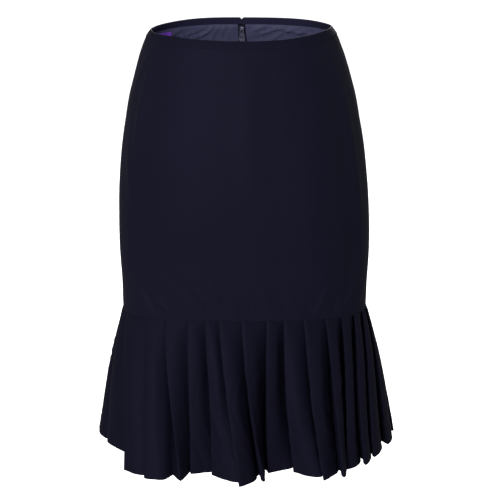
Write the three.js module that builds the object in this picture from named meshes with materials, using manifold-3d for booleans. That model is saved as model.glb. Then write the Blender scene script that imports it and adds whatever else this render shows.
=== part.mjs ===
// A women's knee-length skirt on a general hip form: a smooth fitted body, a narrow waistband, a full lining,
// a concealed zip down the centre back, and a deep flounce of knife pleats at the hem.
// Millimetres, +Z up, +X to the right of someone looking at the front, front towards -Y.
// Left and right in the names are those of someone looking at the front.
// The origin is the centre of the waist opening at the mean height of the band's top edge.

import * as THREE from 'three';
import { mergeVertices } from 'three/addons/utils/BufferGeometryUtils.js';
import Module from 'manifold-3d';

// Driving sizes in millimetres.
const SEAM_GAP = 0.3;
const BODY_LENGTH = 430.5;
const BAND_HEIGHT = 11.4;
const BAND_WALL = 2.0;
const BAND_PROUD = 0.3;
const BODY_WALL = 1.2;
const LINING_WALL = 1.0;
const LINING_INSET = 2.0;
const LINING_END = 396;
const ZIP_LENGTH = 186;
const ZIP_TAPE_WIDTH = 5.0;
const ZIP_TAPE_WALL = 1.0;
const LABEL_TOP = 15;
const LABEL_HEIGHT = 20;
const LABEL_WALL = 1.0;
const LABEL_GAP = 0.45;
const PLEAT_WALL = 1.0;
const LAYER_PITCH = 1.7;
const FOLD_RADIUS = 0.9;
const PLEAT_LAP = 13;
const HEM_FRONT = -662;
const HEM_SIDE_LIFT = 12;

// The waist edge isn't level: it dips at the front, the back and the left, and rises to the right.
// at is the angle from centre front in degrees, and the lift fades out down to a depth below the waist.
const WAIST_EDGE = [
  { at: -90, lift: -0.8 },
  { at: -65, lift: -0.4 },
  { at: -45, lift: 0.8 },
  { at: -25, lift: -0.5 },
  { at: 0, lift: -1.6 },
  { at: 25, lift: -0.7 },
  { at: 45, lift: 2.5 },
  { at: 65, lift: 4.8 },
  { at: 80, lift: 4.4 },
  { at: 95, lift: 2.4 },
  { at: 115, lift: 0.3 },
  { at: 145, lift: -0.3 },
  { at: 175, lift: -1.2 },
  { at: 205, lift: -0.9 },
  { at: 235, lift: -2.8 },
  { at: 255, lift: -2.5 },
  { at: 270, lift: -0.8 },
];
const WAIST_FADE = 150;
// The seam above the flounce rises towards the centre, by this much at the front and at the back.
const SEAM_RISE = { front: 9, back: 3 };
// How much squarer than an ellipse the body's sections are. The hem is a plain ellipse.
const SQUARENESS = 0.02;

// Sections of the body, one row per height below the waist, at. half is the half width, front and back
// are the depths from the axis, and shift moves the section sideways.
const SECTIONS = [
  { at: 0, half: 131.5, front: 92, back: 96, shift: -4.0 },
  { at: 12, half: 140.0, front: 98, back: 101, shift: -3.8 },
  { at: 28, half: 146.6, front: 102, back: 105, shift: -3.6 },
  { at: 43, half: 151.9, front: 105, back: 108, shift: -3.2 },
  { at: 73, half: 160.6, front: 109, back: 114, shift: -2.6 },
  { at: 103, half: 168.4, front: 112, back: 120, shift: -2.4 },
  { at: 134, half: 174.0, front: 114, back: 125, shift: -2.2 },
  { at: 164, half: 179.2, front: 115, back: 129, shift: -1.9 },
  { at: 195, half: 183.2, front: 115, back: 131, shift: -1.6 },
  { at: 242, half: 187.4, front: 113, back: 130, shift: -1.0 },
  { at: 290, half: 189.6, front: 108, back: 126, shift: -0.2 },
  { at: 337, half: 190.0, front: 102, back: 120, shift: 0.3 },
  { at: 386, half: 187.8, front: 97, back: 114, shift: 0.4 },
  { at: 431, half: 187.0, front: 92.5, back: 109, shift: 0.2 },
];

// How far the flounce has flared at a share of its drop, and the size of the flare at the hem.
const FLARE = [
  { at: 0, share: 0 },
  { at: 0.15, share: 0.24 },
  { at: 0.35, share: 0.5 },
  { at: 0.6, share: 0.74 },
  { at: 0.8, share: 0.88 },
  { at: 1, share: 1 },
];
const FLARE_SIZE = { half: 37, front: 53.5, back: 45, shift: 1.0 };
// The pressed layers make the flounce's top stand proud of the panels above, a little further to the right.
const FLOUNCE_TOP = { proud: 1.2, shift: 0.7 };
const FLOUNCE_LEVELS = [0, 0.1, 0.28, 0.5, 0.75, 1];

// The knife pleats, one row per fold, all facing the same way round.
// seam and hem are the fold's angles from centre front, in degrees, positive to the right.
// out, mid, late and tuck are distances from the hem's mean oval: at the fold, on the face, just before the
// next fold, and in the valley. under is how far the valley runs below the next fold, in degrees.
// bow is how far the fold's line swings sideways half way down, in degrees.
const PLEATS = [
  { seam: -72, hem: -48.7, out: 26, mid: 26, late: 18, under: 3.5, tuck: 10, bow: 4.5 },
  { seam: -50.5, hem: -38.2, out: 29, mid: 26, late: 21, under: -4.6, tuck: 0, bow: 1.7 },
  { seam: -38, hem: -24.6, out: 14, mid: -4, late: -20, under: -0.6, tuck: -28, bow: 0.7 },
  { seam: -25.4, hem: -22.6, out: -13, mid: -22, late: -30, under: 2.5, tuck: -35, bow: 1 },
  { seam: -17.2, hem: -13.8, out: -18, mid: -6, late: 2, under: 2.2, tuck: -2, bow: 1.2 },
  { seam: -11.2, hem: -2.3, out: 17, mid: 8, late: -5, under: -1.5, tuck: -23, bow: 0 },
  { seam: -1.5, hem: 7, out: 1, mid: -14, late: -31, under: -1.3, tuck: -40, bow: -1.2 },
  { seam: 9.2, hem: 9.8, out: -27, mid: -32, late: -35, under: 2.5, tuck: -39, bow: -1 },
  { seam: 16.8, hem: 20.4, out: -21, mid: -2, late: 8, under: 2.6, tuck: 3, bow: -2 },
  { seam: 26.2, hem: 29.5, out: 21, mid: 14, late: 7, under: 1.4, tuck: 2, bow: -1.4 },
  { seam: 38, hem: 37.7, out: 25, mid: 13, late: 0, under: 2.4, tuck: -6, bow: -0.8 },
  { seam: 48.8, hem: 42.5, out: 7, mid: 7, late: -1, under: 3, tuck: -7, bow: -1 },
  { seam: 60.5, hem: 51.3, out: 13, mid: 8, late: -1, under: 2.2, tuck: -7, bow: -3.6 },
  { seam: 72.5, hem: 59.7, out: 6, mid: 3, late: -6, under: 3.2, tuck: -11, bow: -4 },
  { seam: 83.5, hem: 75.9, out: 5, mid: 7, late: 1, under: 3.4, tuck: -6, bow: -3.6 },
  { seam: 98, hem: 94, out: 11, mid: 6, late: -5, under: 3.6, tuck: -12, bow: -2 },
  { seam: 111, hem: 108, out: 3, mid: 2, late: -7, under: 3.2, tuck: -15, bow: -1 },
  { seam: 123, hem: 121.5, out: 12, mid: 9, late: -1, under: 3.0, tuck: -9, bow: 0.5 },
  { seam: 133.5, hem: 133, out: 5, mid: -3, late: -12, under: 2.6, tuck: -20, bow: -0.6 },
  { seam: 143, hem: 142, out: -3, mid: 4, late: -3, under: 2.4, tuck: -12, bow: 0.8 },
  { seam: 151.5, hem: 150.2, out: 14, mid: 8, late: -4, under: 2.2, tuck: -14, bow: -0.5 },
  { seam: 160, hem: 158.5, out: 4, mid: -8, late: -17, under: 2.4, tuck: -24, bow: 0.4 },
  { seam: 168.5, hem: 167.2, out: -8, mid: -4, late: -8, under: 2.6, tuck: -17, bow: 0.9 },
  { seam: 177, hem: 175.4, out: 10, mid: 12, late: 1, under: 2.4, tuck: -8, bow: -0.7 },
  { seam: 185.5, hem: 184.6, out: 15, mid: 3, late: -12, under: 2.2, tuck: -21, bow: 0.6 },
  { seam: 194, hem: 192.6, out: -5, mid: -8, late: -14, under: 2.5, tuck: -22, bow: -0.8 },
  { seam: 202.5, hem: 201.4, out: 2, mid: 8, late: 2, under: 2.6, tuck: -7, bow: 0.5 },
  { seam: 211.5, hem: 210.2, out: 16, mid: 8, late: -5, under: 2.4, tuck: -14, bow: 0.9 },
  { seam: 221, hem: 220.5, out: 4, mid: -5, late: -13, under: 2.8, tuck: -20, bow: -0.6 },
  { seam: 232, hem: 233.5, out: -2, mid: 3, late: -5, under: 3.0, tuck: -13, bow: 0.8 },
  { seam: 244, hem: 248, out: 11, mid: 6, late: -3, under: 3.2, tuck: -11, bow: 1.5 },
  { seam: 257, hem: 265, out: 9, mid: 3, late: -10, under: 2.6, tuck: -16, bow: 2.4 },
  { seam: 270.5, hem: 281, out: -4, mid: -9, late: -15, under: -6, tuck: -20, bow: 3.4 },
];
// The flounce is cut in two, each joined out of sight on a return layer, at these rows of the table.
const FLOUNCE_FRONT = { first: 0, count: 15 };
const FLOUNCE_BACK = { first: 15, count: 18 };
const TURN = 360;

const rad = THREE.MathUtils.degToRad;

// Smooth curve through a table's rows: a cubic between rows whose slopes come from the neighbours.
function read(table, key, at) {
  let i = 0;
  while (i < table.length - 2 && at > table[i + 1].at) {
    i += 1;
  }
  const slope = (j) => {
    const lower = table[Math.max(j - 1, 0)];
    const upper = table[Math.min(j + 1, table.length - 1)];
    return (upper[key] - lower[key]) / (upper.at - lower.at);
  };
  const from = table[i];
  const to = table[i + 1];
  const run = to.at - from.at;
  const s = THREE.MathUtils.clamp((at - from.at) / run, 0, 1);
  const s2 = s * s;
  const s3 = s2 * s;
  return (2 * s3 - 3 * s2 + 1) * from[key] + (s3 - 2 * s2 + s) * run * slope(i)
    + (3 * s2 - 2 * s3) * to[key] + (s3 - s2) * run * slope(i + 1);
}

// Point of an oval section at an angle from centre front, in degrees.
function oval(size, angle) {
  const t = rad(angle);
  const depth = Math.cos(t) > 0 ? size.front : size.back;
  const x = (1 + size.square) * Math.sin(t) + size.square * Math.sin(3 * t);
  const y = (1 + size.square) * Math.cos(t) - size.square * Math.cos(3 * t);
  return new THREE.Vector2(size.shift + size.half * x, -depth * y);
}

// Direction of travel round an oval section, in millimetres per degree.
function ovalStep(size, angle) {
  const reach = 0.05;
  return oval(size, angle + reach).sub(oval(size, angle - reach)).divideScalar(2 * reach);
}

// An oval section's point moved out from its surface.
function ovalOut(size, angle, out) {
  const along = ovalStep(size, angle).normalize();
  return oval(size, angle).add(new THREE.Vector2(along.y, -along.x).multiplyScalar(out));
}

function degreesFor(size, angle, length) {
  return length / ovalStep(size, angle).length();
}

function bodySize(h) {
  return {
    half: read(SECTIONS, 'half', h),
    front: read(SECTIONS, 'front', h),
    back: read(SECTIONS, 'back', h),
    shift: read(SECTIONS, 'shift', h),
    square: SQUARENESS,
  };
}

function waistLift(angle, h) {
  const fade = Math.max(0, 1 - h / WAIST_FADE);
  return read(WAIST_EDGE, 'lift', angle) * fade * fade;
}

function seamRise(angle) {
  const c = Math.cos(rad(angle));
  return (c > 0 ? SEAM_RISE.front : SEAM_RISE.back) * c * c;
}

// Centreline of the skirt's body: an oval section at every height, lifted at the waist and at the seam.
function bodyPoint(angle, h) {
  const p = oval(bodySize(h), angle);
  const share = h / BODY_LENGTH;
  const z = -h + waistLift(angle, h) + seamRise(angle) * share * share;
  return new THREE.Vector3(p.x, p.y, z);
}

// Outward normal of the body, from two short steps over it.
function bodyNormal(angle, h) {
  const reach = 0.2;
  const along = bodyPoint(angle + reach, h).sub(bodyPoint(angle - reach, h));
  const down = bodyPoint(angle, h + reach).sub(bodyPoint(angle, h - reach));
  return down.cross(along).normalize();
}

// A closed wall from a grid of outer and inner points: two faces joined round the four edges.
function closedWall(outer, inner) {
  const rows = outer.length;
  const columns = outer[0].length;
  const positions = [];
  const triangles = [];
  for (const side of [outer, inner]) {
    for (const row of side) {
      for (const p of row) {
        positions.push(p.x, p.y, p.z);
      }
    }
  }
  const at = (side, i, j) => (side * rows + i) * columns + j;
  const quad = (a, b, c, d) => {
    triangles.push(a, b, c, a, c, d);
  };
  for (let i = 0; i < rows - 1; i += 1) {
    for (let j = 0; j < columns - 1; j += 1) {
      quad(at(0, i, j), at(0, i + 1, j), at(0, i + 1, j + 1), at(0, i, j + 1));
      quad(at(1, i, j), at(1, i, j + 1), at(1, i + 1, j + 1), at(1, i + 1, j));
    }
    quad(at(0, i, 0), at(1, i, 0), at(1, i + 1, 0), at(0, i + 1, 0));
    quad(at(0, i, columns - 1), at(0, i + 1, columns - 1), at(1, i + 1, columns - 1), at(1, i, columns - 1));
  }
  for (let j = 0; j < columns - 1; j += 1) {
    quad(at(0, 0, j), at(0, 0, j + 1), at(1, 0, j + 1), at(1, 0, j));
    quad(at(0, rows - 1, j), at(1, rows - 1, j), at(1, rows - 1, j + 1), at(0, rows - 1, j + 1));
  }
  const geometry = new THREE.BufferGeometry();
  geometry.setAttribute('position', new THREE.Float32BufferAttribute(positions, 3));
  geometry.setIndex(triangles);
  geometry.computeVertexNormals();
  return geometry;
}

// A panel that lies on the body: columns of angles by rows of heights, moved out from the centreline.
// angleAt gives the angle for a column's share and a height, heightAt the height for a row's share and an angle.
function panel({ columns, rows, angleAt, heightAt, wall, offset }) {
  const outer = [];
  const inner = [];
  for (const down of rows) {
    const outerRow = [];
    const innerRow = [];
    for (const across of columns) {
      const h = heightAt(down, angleAt(across, 0));
      const angle = angleAt(across, h);
      const p = bodyPoint(angle, h);
      const n = bodyNormal(angle, h);
      outerRow.push(p.clone().addScaledVector(n, offset + wall / 2));
      innerRow.push(p.clone().addScaledVector(n, offset - wall / 2));
    }
    outer.push(outerRow);
    inner.push(innerRow);
  }
  return closedWall(outer, inner);
}

function evenShares(count) {
  return Array.from({ length: count + 1 }, (_, i) => i / count);
}

// The angle at which a panel ends so that it stops half a seam gap short of its neighbour.
function edgeAngle(angle, h, side, gap = SEAM_GAP / 2) {
  return angle + side * degreesFor(bodySize(h), angle, gap);
}

function spanning(from, to, fromGap, toGap) {
  return (across, h) => THREE.MathUtils.lerp(
    edgeAngle(from, h, 1, fromGap(h)),
    edgeAngle(to, h, -1, toGap(h)),
    across,
  );
}

const plainGap = () => SEAM_GAP / 2;

// The lining's centre-back edge stands clear of the zip tape, then closes below the end of the zip.
function liningGap(h) {
  const open = ZIP_TAPE_WIDTH + 2 * SEAM_GAP;
  const close = THREE.MathUtils.smoothstep(h, ZIP_LENGTH + 2, ZIP_LENGTH + 12);
  return THREE.MathUtils.lerp(open, SEAM_GAP / 2, close);
}

// The cloth panels of the body.
const BODY_ROWS = [0, 0.03, 0.07, 0.13, 0.2, 0.28, 0.37, 0.47, 0.57, 0.68, 0.79, 0.9, 1];
function bodyPanel(from, to, columns) {
  return panel({
    columns: evenShares(columns),
    rows: BODY_ROWS,
    angleAt: spanning(from, to, plainGap, plainGap),
    heightAt: (down) => THREE.MathUtils.lerp(BAND_HEIGHT + SEAM_GAP, BODY_LENGTH - SEAM_GAP, down),
    wall: BODY_WALL,
    offset: 0,
  });
}

// The waistband. Its centre-back corners are cut down into a shallow notch above the zip.
const NOTCH = { depth: 3.4, halfAngle: 1.5 };
function bandTop(angle) {
  const reach = Math.max(0, 1 - Math.abs(angle - TURN / 2) / NOTCH.halfAngle);
  return NOTCH.depth * reach * reach;
}

function bandPanel(from, to, shares) {
  return panel({
    columns: shares,
    rows: [0, 0.5, 1],
    angleAt: spanning(from, to, plainGap, plainGap),
    heightAt: (down, angle) => THREE.MathUtils.lerp(bandTop(angle), BAND_HEIGHT, down),
    wall: BAND_WALL,
    offset: BAND_PROUD,
  });
}

const LINING_ROWS = [0, 0.05, 0.13, 0.24, 0.36, 0.44, 0.455, 0.475, 0.6, 0.8, 1];
function liningPanel(from, to, columns, fromGap, toGap) {
  return panel({
    columns: evenShares(columns),
    rows: LINING_ROWS,
    angleAt: spanning(from, to, fromGap, toGap),
    heightAt: (down) => THREE.MathUtils.lerp(BAND_HEIGHT + SEAM_GAP, LINING_END, down),
    wall: LINING_WALL,
    offset: -LINING_INSET,
  });
}

// Half of the zip's tape, from just beside the centre back out to the lining's edge.
function zipTape(side) {
  const near = (h) => degreesFor(bodySize(h), TURN / 2, SEAM_GAP / 2);
  const far = (h) => degreesFor(bodySize(h), TURN / 2, ZIP_TAPE_WIDTH + SEAM_GAP / 2);
  const shares = side > 0 ? [0, 1] : [1, 0];
  return panel({
    columns: shares,
    rows: evenShares(8),
    angleAt: (across, h) => TURN / 2 + side * THREE.MathUtils.lerp(near(h), far(h), across),
    heightAt: (down) => THREE.MathUtils.lerp(BAND_HEIGHT + SEAM_GAP, ZIP_LENGTH, down),
    wall: ZIP_TAPE_WALL,
    offset: -LINING_INSET,
  });
}

// A plain ribbon label on the lining, high up inside the back, left of the zip as seen. It keeps the lining's columns.
const LINING_COLUMNS = 11;
const LABEL_COLUMNS = [6, 7, 8, 9];
function labelPanel() {
  return panel({
    columns: LABEL_COLUMNS.map((column) => column / LINING_COLUMNS),
    rows: evenShares(2),
    angleAt: spanning(TURN / 2, 3 * TURN / 4, liningGap, plainGap),
    heightAt: (down) => LABEL_TOP + LABEL_HEIGHT * down,
    wall: LABEL_WALL,
    offset: -(LINING_INSET + LINING_WALL / 2 + LABEL_GAP + LABEL_WALL / 2),
  });
}

function flounceSize(v) {
  const share = read(FLARE, 'share', v);
  const seam = bodySize(BODY_LENGTH);
  return {
    half: seam.half + FLOUNCE_TOP.proud + FLARE_SIZE.half * share,
    front: seam.front + FLOUNCE_TOP.proud + FLARE_SIZE.front * share,
    back: seam.back + FLOUNCE_TOP.proud + FLARE_SIZE.back * share,
    shift: seam.shift + FLOUNCE_TOP.shift + FLARE_SIZE.shift * share,
    square: SQUARENESS * (1 - v),
  };
}

function flounceHeight(angle, v) {
  const s = Math.sin(rad(angle));
  const top = bodyPoint(angle, BODY_LENGTH).z - SEAM_GAP;
  return THREE.MathUtils.lerp(top, HEM_FRONT + HEM_SIDE_LIFT * s * s, v);
}

function pleatRow(i) {
  const turns = Math.floor(i / PLEATS.length);
  const row = PLEATS[i - turns * PLEATS.length];
  return { ...row, seam: row.seam + TURN * turns, hem: row.hem + TURN * turns };
}

// Where a pleat's fold, face and valley lie, at the seam and at the hem, as angle and distance out.
function pleatStates(i) {
  const row = pleatRow(i);
  const next = pleatRow(i + 1);
  const seamSize = flounceSize(0);
  const valleyAngle = next.hem + row.under;
  const valleySeam = next.seam + degreesFor(seamSize, next.seam, PLEAT_LAP);
  const fall = (angle) => -2 * LAYER_PITCH * (angle - row.seam) / (next.seam - row.seam);
  const seamAt = (angle) => ({ angle, out: fall(angle) });
  const hemAt = (share, out) => ({ angle: THREE.MathUtils.lerp(row.hem, valleyAngle, share), out });
  const bowAt = (share) => THREE.MathUtils.lerp(row.bow, next.bow, share);
  return {
    fold: {
      seam: { angle: row.seam, out: -LAYER_PITCH / 2 },
      hem: { angle: row.hem, out: row.out },
      bow: row.bow,
      hang: HANG.fold,
    },
    mid: {
      seam: seamAt(row.seam + degreesFor(seamSize, row.seam, PLEAT_LAP)),
      hem: hemAt(MID_SHARE, row.mid),
      bow: bowAt(MID_SHARE),
      hang: HANG.mid,
    },
    late: {
      seam: seamAt(next.seam - degreesFor(seamSize, next.seam, LATE_SHORT)),
      hem: hemAt(LATE_SHARE, row.late),
      bow: bowAt(LATE_SHARE),
      hang: HANG.late,
    },
    valley: {
      seam: { angle: valleySeam, out: fall(valleySeam) + LAYER_PITCH / 2 },
      hem: { angle: valleyAngle, out: row.tuck },
      bow: next.bow,
      hang: HANG.valley,
    },
  };
}
const MID_SHARE = 0.4;
const LATE_SHARE = 0.8;
const LATE_SHORT = 2;

// How each line of a pleat leaves the seam: power is that of the drop by which it moves out to its place at the
// hem, and dip is how far it swings further out than that on the way down. The far ends of the faces sink in.
const HANG = {
  fold: { power: 1.4, dip: 0 },
  mid: { power: 1.15, dip: 0.5 },
  late: { power: 0.9, dip: -10 },
  valley: { power: 0.9, dip: -17 },
};
const DIP_POWER = 0.85;

// Direction from one point of the path to another, in millimetres along and out.
function pathDirection(from, to, scale) {
  return new THREE.Vector2((to.angle - from.angle) * scale, to.out - from.out).normalize();
}

// A rounded turn of the cloth: a tip and two points beside it, opening towards the middle of two other points.
function hairpin(tip, one, other, size) {
  const scale = ovalStep(size, tip.angle).length();
  const axis = pathDirection(tip, one, scale).add(pathDirection(tip, other, scale)).normalize();
  const across = new THREE.Vector2(-axis.y, axis.x);
  const place = (side) => {
    const step = axis.clone().multiplyScalar(FOLD_RADIUS).addScaledVector(across, side * LAYER_PITCH / 2);
    return { angle: tip.angle + step.x / scale, out: tip.out + step.y };
  };
  return [place(-1), tip, place(1)];
}

function blend(state, v) {
  return {
    angle: THREE.MathUtils.lerp(state.seam.angle, state.hem.angle, v) + state.bow * Math.sin(Math.PI * v),
    out: THREE.MathUtils.lerp(state.seam.out, state.hem.out, v ** state.hang.power)
      + state.hang.dip * Math.sin(Math.PI * v ** DIP_POWER),
  };
}

// The cloth's path round the flounce at one level, from the return before the first fold to the last return.
function pleatPath(first, count, v) {
  const size = flounceSize(v);
  const path = [];
  const before = pleatStates(first + PLEATS.length - 1);
  before.valley.seam.angle -= TURN;
  before.valley.hem.angle -= TURN;
  const valleyBefore = blend(before.valley, v);
  for (let i = first; i < first + count; i += 1) {
    const here = pleatStates(i);
    const last = i === first ? before : pleatStates(i - 1);
    const next = pleatStates(i + 1);
    const fold = blend(here.fold, v);
    const valley = blend(here.valley, v);
    const mid = blend(here.mid, v);
    const late = blend(here.late, v);
    const foldTurn = hairpin(fold, mid, blend(last.valley, v), size);
    const valleyTurn = hairpin(valley, late, blend(next.fold, v), size);
    if (i === first) {
      path.push(joinPoint(valleyBefore, fold, 1, size));
    }
    path.push(...foldTurn, mid, late);
    path.push(valleyTurn[2], valleyTurn[1], valleyTurn[0]);
    if (i === first + count - 1) {
      const nextFold = blend(next.fold, v);
      path.push(joinPoint(valley, nextFold, -1, size));
    }
  }
  return path.map((p) => ovalOut(size, p.angle, p.out));
}

// Where the two halves of the flounce meet on a return layer, each stopping short of the middle.
function joinPoint(valley, fold, side, size) {
  const scale = ovalStep(size, fold.angle).length();
  const length = Math.hypot((fold.angle - valley.angle) * scale, fold.out - valley.out);
  const share = 0.5 + side * SEAM_GAP / length;
  return {
    angle: THREE.MathUtils.lerp(valley.angle, fold.angle, share),
    out: THREE.MathUtils.lerp(valley.out, fold.out, share),
  };
}

// Moves a plan path sideways by half the wall, with mitred corners.
function sidePath(path, distance) {
  const longest = 1.7;
  return path.map((p, i) => {
    const before = p.clone().sub(path[Math.max(i - 1, 0)]);
    const after = path[Math.min(i + 1, path.length - 1)].clone().sub(p);
    if (i === 0) {
      before.copy(after);
    }
    if (i === path.length - 1) {
      after.copy(before);
    }
    before.normalize();
    after.normalize();
    const normalBefore = new THREE.Vector2(before.y, -before.x);
    const normalAfter = new THREE.Vector2(after.y, -after.x);
    const middle = normalBefore.add(normalAfter).normalize();
    const stretch = Math.min(longest, 1 / Math.max(middle.dot(normalAfter), 0.2));
    return p.clone().addScaledVector(middle, distance * stretch);
  });
}

function planAngle(p) {
  const size = flounceSize(0.5);
  return THREE.MathUtils.radToDeg(Math.atan2(p.x / size.half, -p.y / (p.y < 0 ? size.front : size.back)));
}

function flouncePiece({ first, count }) {
  const outer = [];
  const inner = [];
  for (const v of FLOUNCE_LEVELS) {
    const path = pleatPath(first, count, v);
    const lift = (list) => list.map((p, i) => new THREE.Vector3(p.x, p.y, flounceHeight(planAngle(path[i]), v)));
    outer.push(lift(sidePath(path, PLEAT_WALL / 2)));
    inner.push(lift(sidePath(path, -PLEAT_WALL / 2)));
  }
  return closedWall(outer, inner);
}

// The zip's slider and pull tab. Local axes: x right, y towards the wall, z up, from the slider's middle.
const SLIDER = { width: 7.2, foot: 5.4, height: 9.5, depth: 3.0, round: 0.5 };
const BAIL = { width: 1.8, reach: 3.2, wall: 1.2, top: 3.4, bottom: -2.6 };
const PULL = { thick: 1.2, bar: 1.2, top: 5.6, widest: 9.6, length: 22, slot: 4.3, slotHalf: 1.35 };
const SLIDER_HEIGHT = 18.6;
const SLIDER_TILT = 13;
const SLIDER_GAP = 0.45;
const PULL_HINGE = { out: 1.0, up: 0.5 };

function shapeFrom(points) {
  return new THREE.Shape(points.map(([x, y]) => new THREE.Vector2(x, y)));
}

// An outline in x and z given a thickness towards the wearer.
function plate(shape, depth, bevel) {
  const geometry = new THREE.ExtrudeGeometry(shape, {
    depth: depth - 2 * bevel,
    bevelEnabled: bevel > 0,
    bevelThickness: bevel,
    bevelSize: bevel,
    bevelOffset: -bevel,
    bevelSegments: 1,
    curveSegments: 10,
  });
  geometry.translate(0, 0, bevel);
  geometry.rotateX(Math.PI / 2);
  return geometry;
}

function sliderBody() {
  const { width, foot, height, depth, round } = SLIDER;
  const half = height / 2;
  return plate(shapeFrom([
    [-foot / 2 + round, -half], [foot / 2 - round, -half], [foot / 2, -half + round], [width / 2, half / 3],
    [width / 2, half - 2 * round], [width / 2 - 2 * round, half], [-width / 2 + 2 * round, half],
    [-width / 2, half - 2 * round], [-width / 2, half / 3], [-foot / 2, -half + round],
  ]), depth, round);
}

// The arch on the slider that the pull tab's bar hangs in, its outline in y and z.
function sliderBail() {
  const { width, reach, wall, top, bottom } = BAIL;
  const sunk = 0.5;
  const cut = wall / 2;
  const outline = shapeFrom([
    [-sunk, bottom], [reach - cut, bottom], [reach, bottom + cut], [reach, top - cut],
    [reach - cut, top], [-sunk, top],
  ]);
  outline.holes.push(new THREE.Path([
    new THREE.Vector2(0.05, bottom + wall), new THREE.Vector2(0.05, top - wall),
    new THREE.Vector2(reach - wall, top - wall), new THREE.Vector2(reach - wall, bottom + wall),
  ]));
  const geometry = new THREE.ExtrudeGeometry(outline, { depth: width, bevelEnabled: false });
  geometry.translate(0, 0, -width / 2);
  geometry.rotateX(Math.PI / 2);
  geometry.rotateZ(-Math.PI / 2);
  geometry.translate(0, -SLIDER.depth, 0);
  return geometry;
}

// The pull tab: a long drop shape with a slot below its bar, its hinge line on the local x axis.
function pullTab() {
  const { thick, bar, top, widest, length, slot, slotHalf } = PULL;
  const shape = new THREE.Shape();
  const up = bar / 2;
  const low = up - length;
  const fullest = low + widest * 0.62;
  shape.moveTo(-top / 2, up);
  shape.lineTo(top / 2, up);
  shape.bezierCurveTo(top / 2 + 0.4, -slot, widest / 2, fullest + 6, widest / 2, fullest);
  shape.bezierCurveTo(widest / 2, low + 1.4, widest / 4, low, 0, low);
  shape.bezierCurveTo(-widest / 4, low, -widest / 2, low + 1.4, -widest / 2, fullest);
  shape.bezierCurveTo(-widest / 2, fullest + 6, -top / 2 - 0.4, -slot, -top / 2, up);
  const outline = new THREE.Shape(shape.getPoints(8).slice(0, -1));
  outline.holes.push(new THREE.Path([
    new THREE.Vector2(-slotHalf, -slot), new THREE.Vector2(slotHalf, -slot),
    new THREE.Vector2(slotHalf, -up), new THREE.Vector2(-slotHalf, -up),
  ]));
  const geometry = plate(outline, thick, 0);
  geometry.translate(0, thick / 2, 0);
  return geometry;
}

const kernel = await Module();
kernel.setup();

function asManifold(geometry) {
  const plain = new THREE.BufferGeometry();
  const source = geometry.index ? geometry.toNonIndexed() : geometry;
  plain.setAttribute('position', source.getAttribute('position').clone());
  const merged = mergeVertices(plain, 1e-4);
  const mesh = new kernel.Mesh({
    numProp: 3,
    vertProperties: new Float32Array(merged.getAttribute('position').array),
    triVerts: new Uint32Array(merged.index.array),
  });
  mesh.merge();
  return new kernel.Manifold(mesh);
}

function joined(...geometries) {
  const solid = geometries.map(asManifold).reduce((sum, next) => sum.add(next));
  const mesh = solid.getMesh();
  const geometry = new THREE.BufferGeometry();
  const positions = [];
  for (let i = 0; i < mesh.numVert; i += 1) {
    const start = i * mesh.numProp;
    positions.push(mesh.vertProperties[start], mesh.vertProperties[start + 1], mesh.vertProperties[start + 2]);
  }
  geometry.setAttribute('position', new THREE.Float32BufferAttribute(positions, 3));
  geometry.setIndex(Array.from(mesh.triVerts));
  geometry.computeVertexNormals();
  return geometry;
}

const COLOURS = {
  cloth: { color: 0x1b1b2a, roughness: 0.85, metalness: 0 },
  lining: { color: 0x38385a, roughness: 0.45, metalness: 0 },
  tape: { color: 0x14141f, roughness: 0.8, metalness: 0 },
  metal: { color: 0x7b7b88, roughness: 0.3, metalness: 1 },
  ribbon: { color: 0x4c2a9a, roughness: 0.5, metalness: 0 },
};

const skirt = new THREE.Group();
skirt.name = 'pleated_skirt';

function addPiece(name, geometry, finish, parent = skirt) {
  const mesh = new THREE.Mesh(geometry, new THREE.MeshStandardMaterial(COLOURS[finish]));
  mesh.name = name;
  parent.add(mesh);
  return mesh;
}

const QUARTER = TURN / 4;
const BACK = TURN / 2;
const RIGHT = QUARTER;
const LEFT = TURN - QUARTER;
const BAND_SHARES = [0, 0.006, 0.012, 0.018, 0.06, 0.13, 0.22, 0.32, 0.43, 0.55, 0.67, 0.78, 0.89, 1];

addPiece('skirt_front', bodyPanel(-QUARTER, RIGHT, 24), 'cloth');
addPiece('skirt_back_right', bodyPanel(RIGHT, BACK, 12), 'cloth');
addPiece('skirt_back_left', bodyPanel(BACK, LEFT, 12), 'cloth');
addPiece('waistband_front', bandPanel(-QUARTER, RIGHT, evenShares(24)), 'cloth');
addPiece('waistband_back_right', bandPanel(RIGHT, BACK, BAND_SHARES.map((s) => 1 - s).reverse()), 'cloth');
addPiece('waistband_back_left', bandPanel(BACK, LEFT, BAND_SHARES), 'cloth');
addPiece('flounce_front', flouncePiece(FLOUNCE_FRONT), 'cloth');
addPiece('flounce_back', flouncePiece(FLOUNCE_BACK), 'cloth');
addPiece('lining_front', liningPanel(-QUARTER, RIGHT, 2 * LINING_COLUMNS, plainGap, plainGap), 'lining');
addPiece('lining_back_right', liningPanel(RIGHT, BACK, LINING_COLUMNS, plainGap, liningGap), 'lining');
addPiece('lining_back_left', liningPanel(BACK, LEFT, LINING_COLUMNS, liningGap, plainGap), 'lining');
addPiece('zip_tape_right', zipTape(-1), 'tape');
addPiece('zip_tape_left', zipTape(1), 'tape');
addPiece('label', labelPanel(), 'ribbon');

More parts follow.
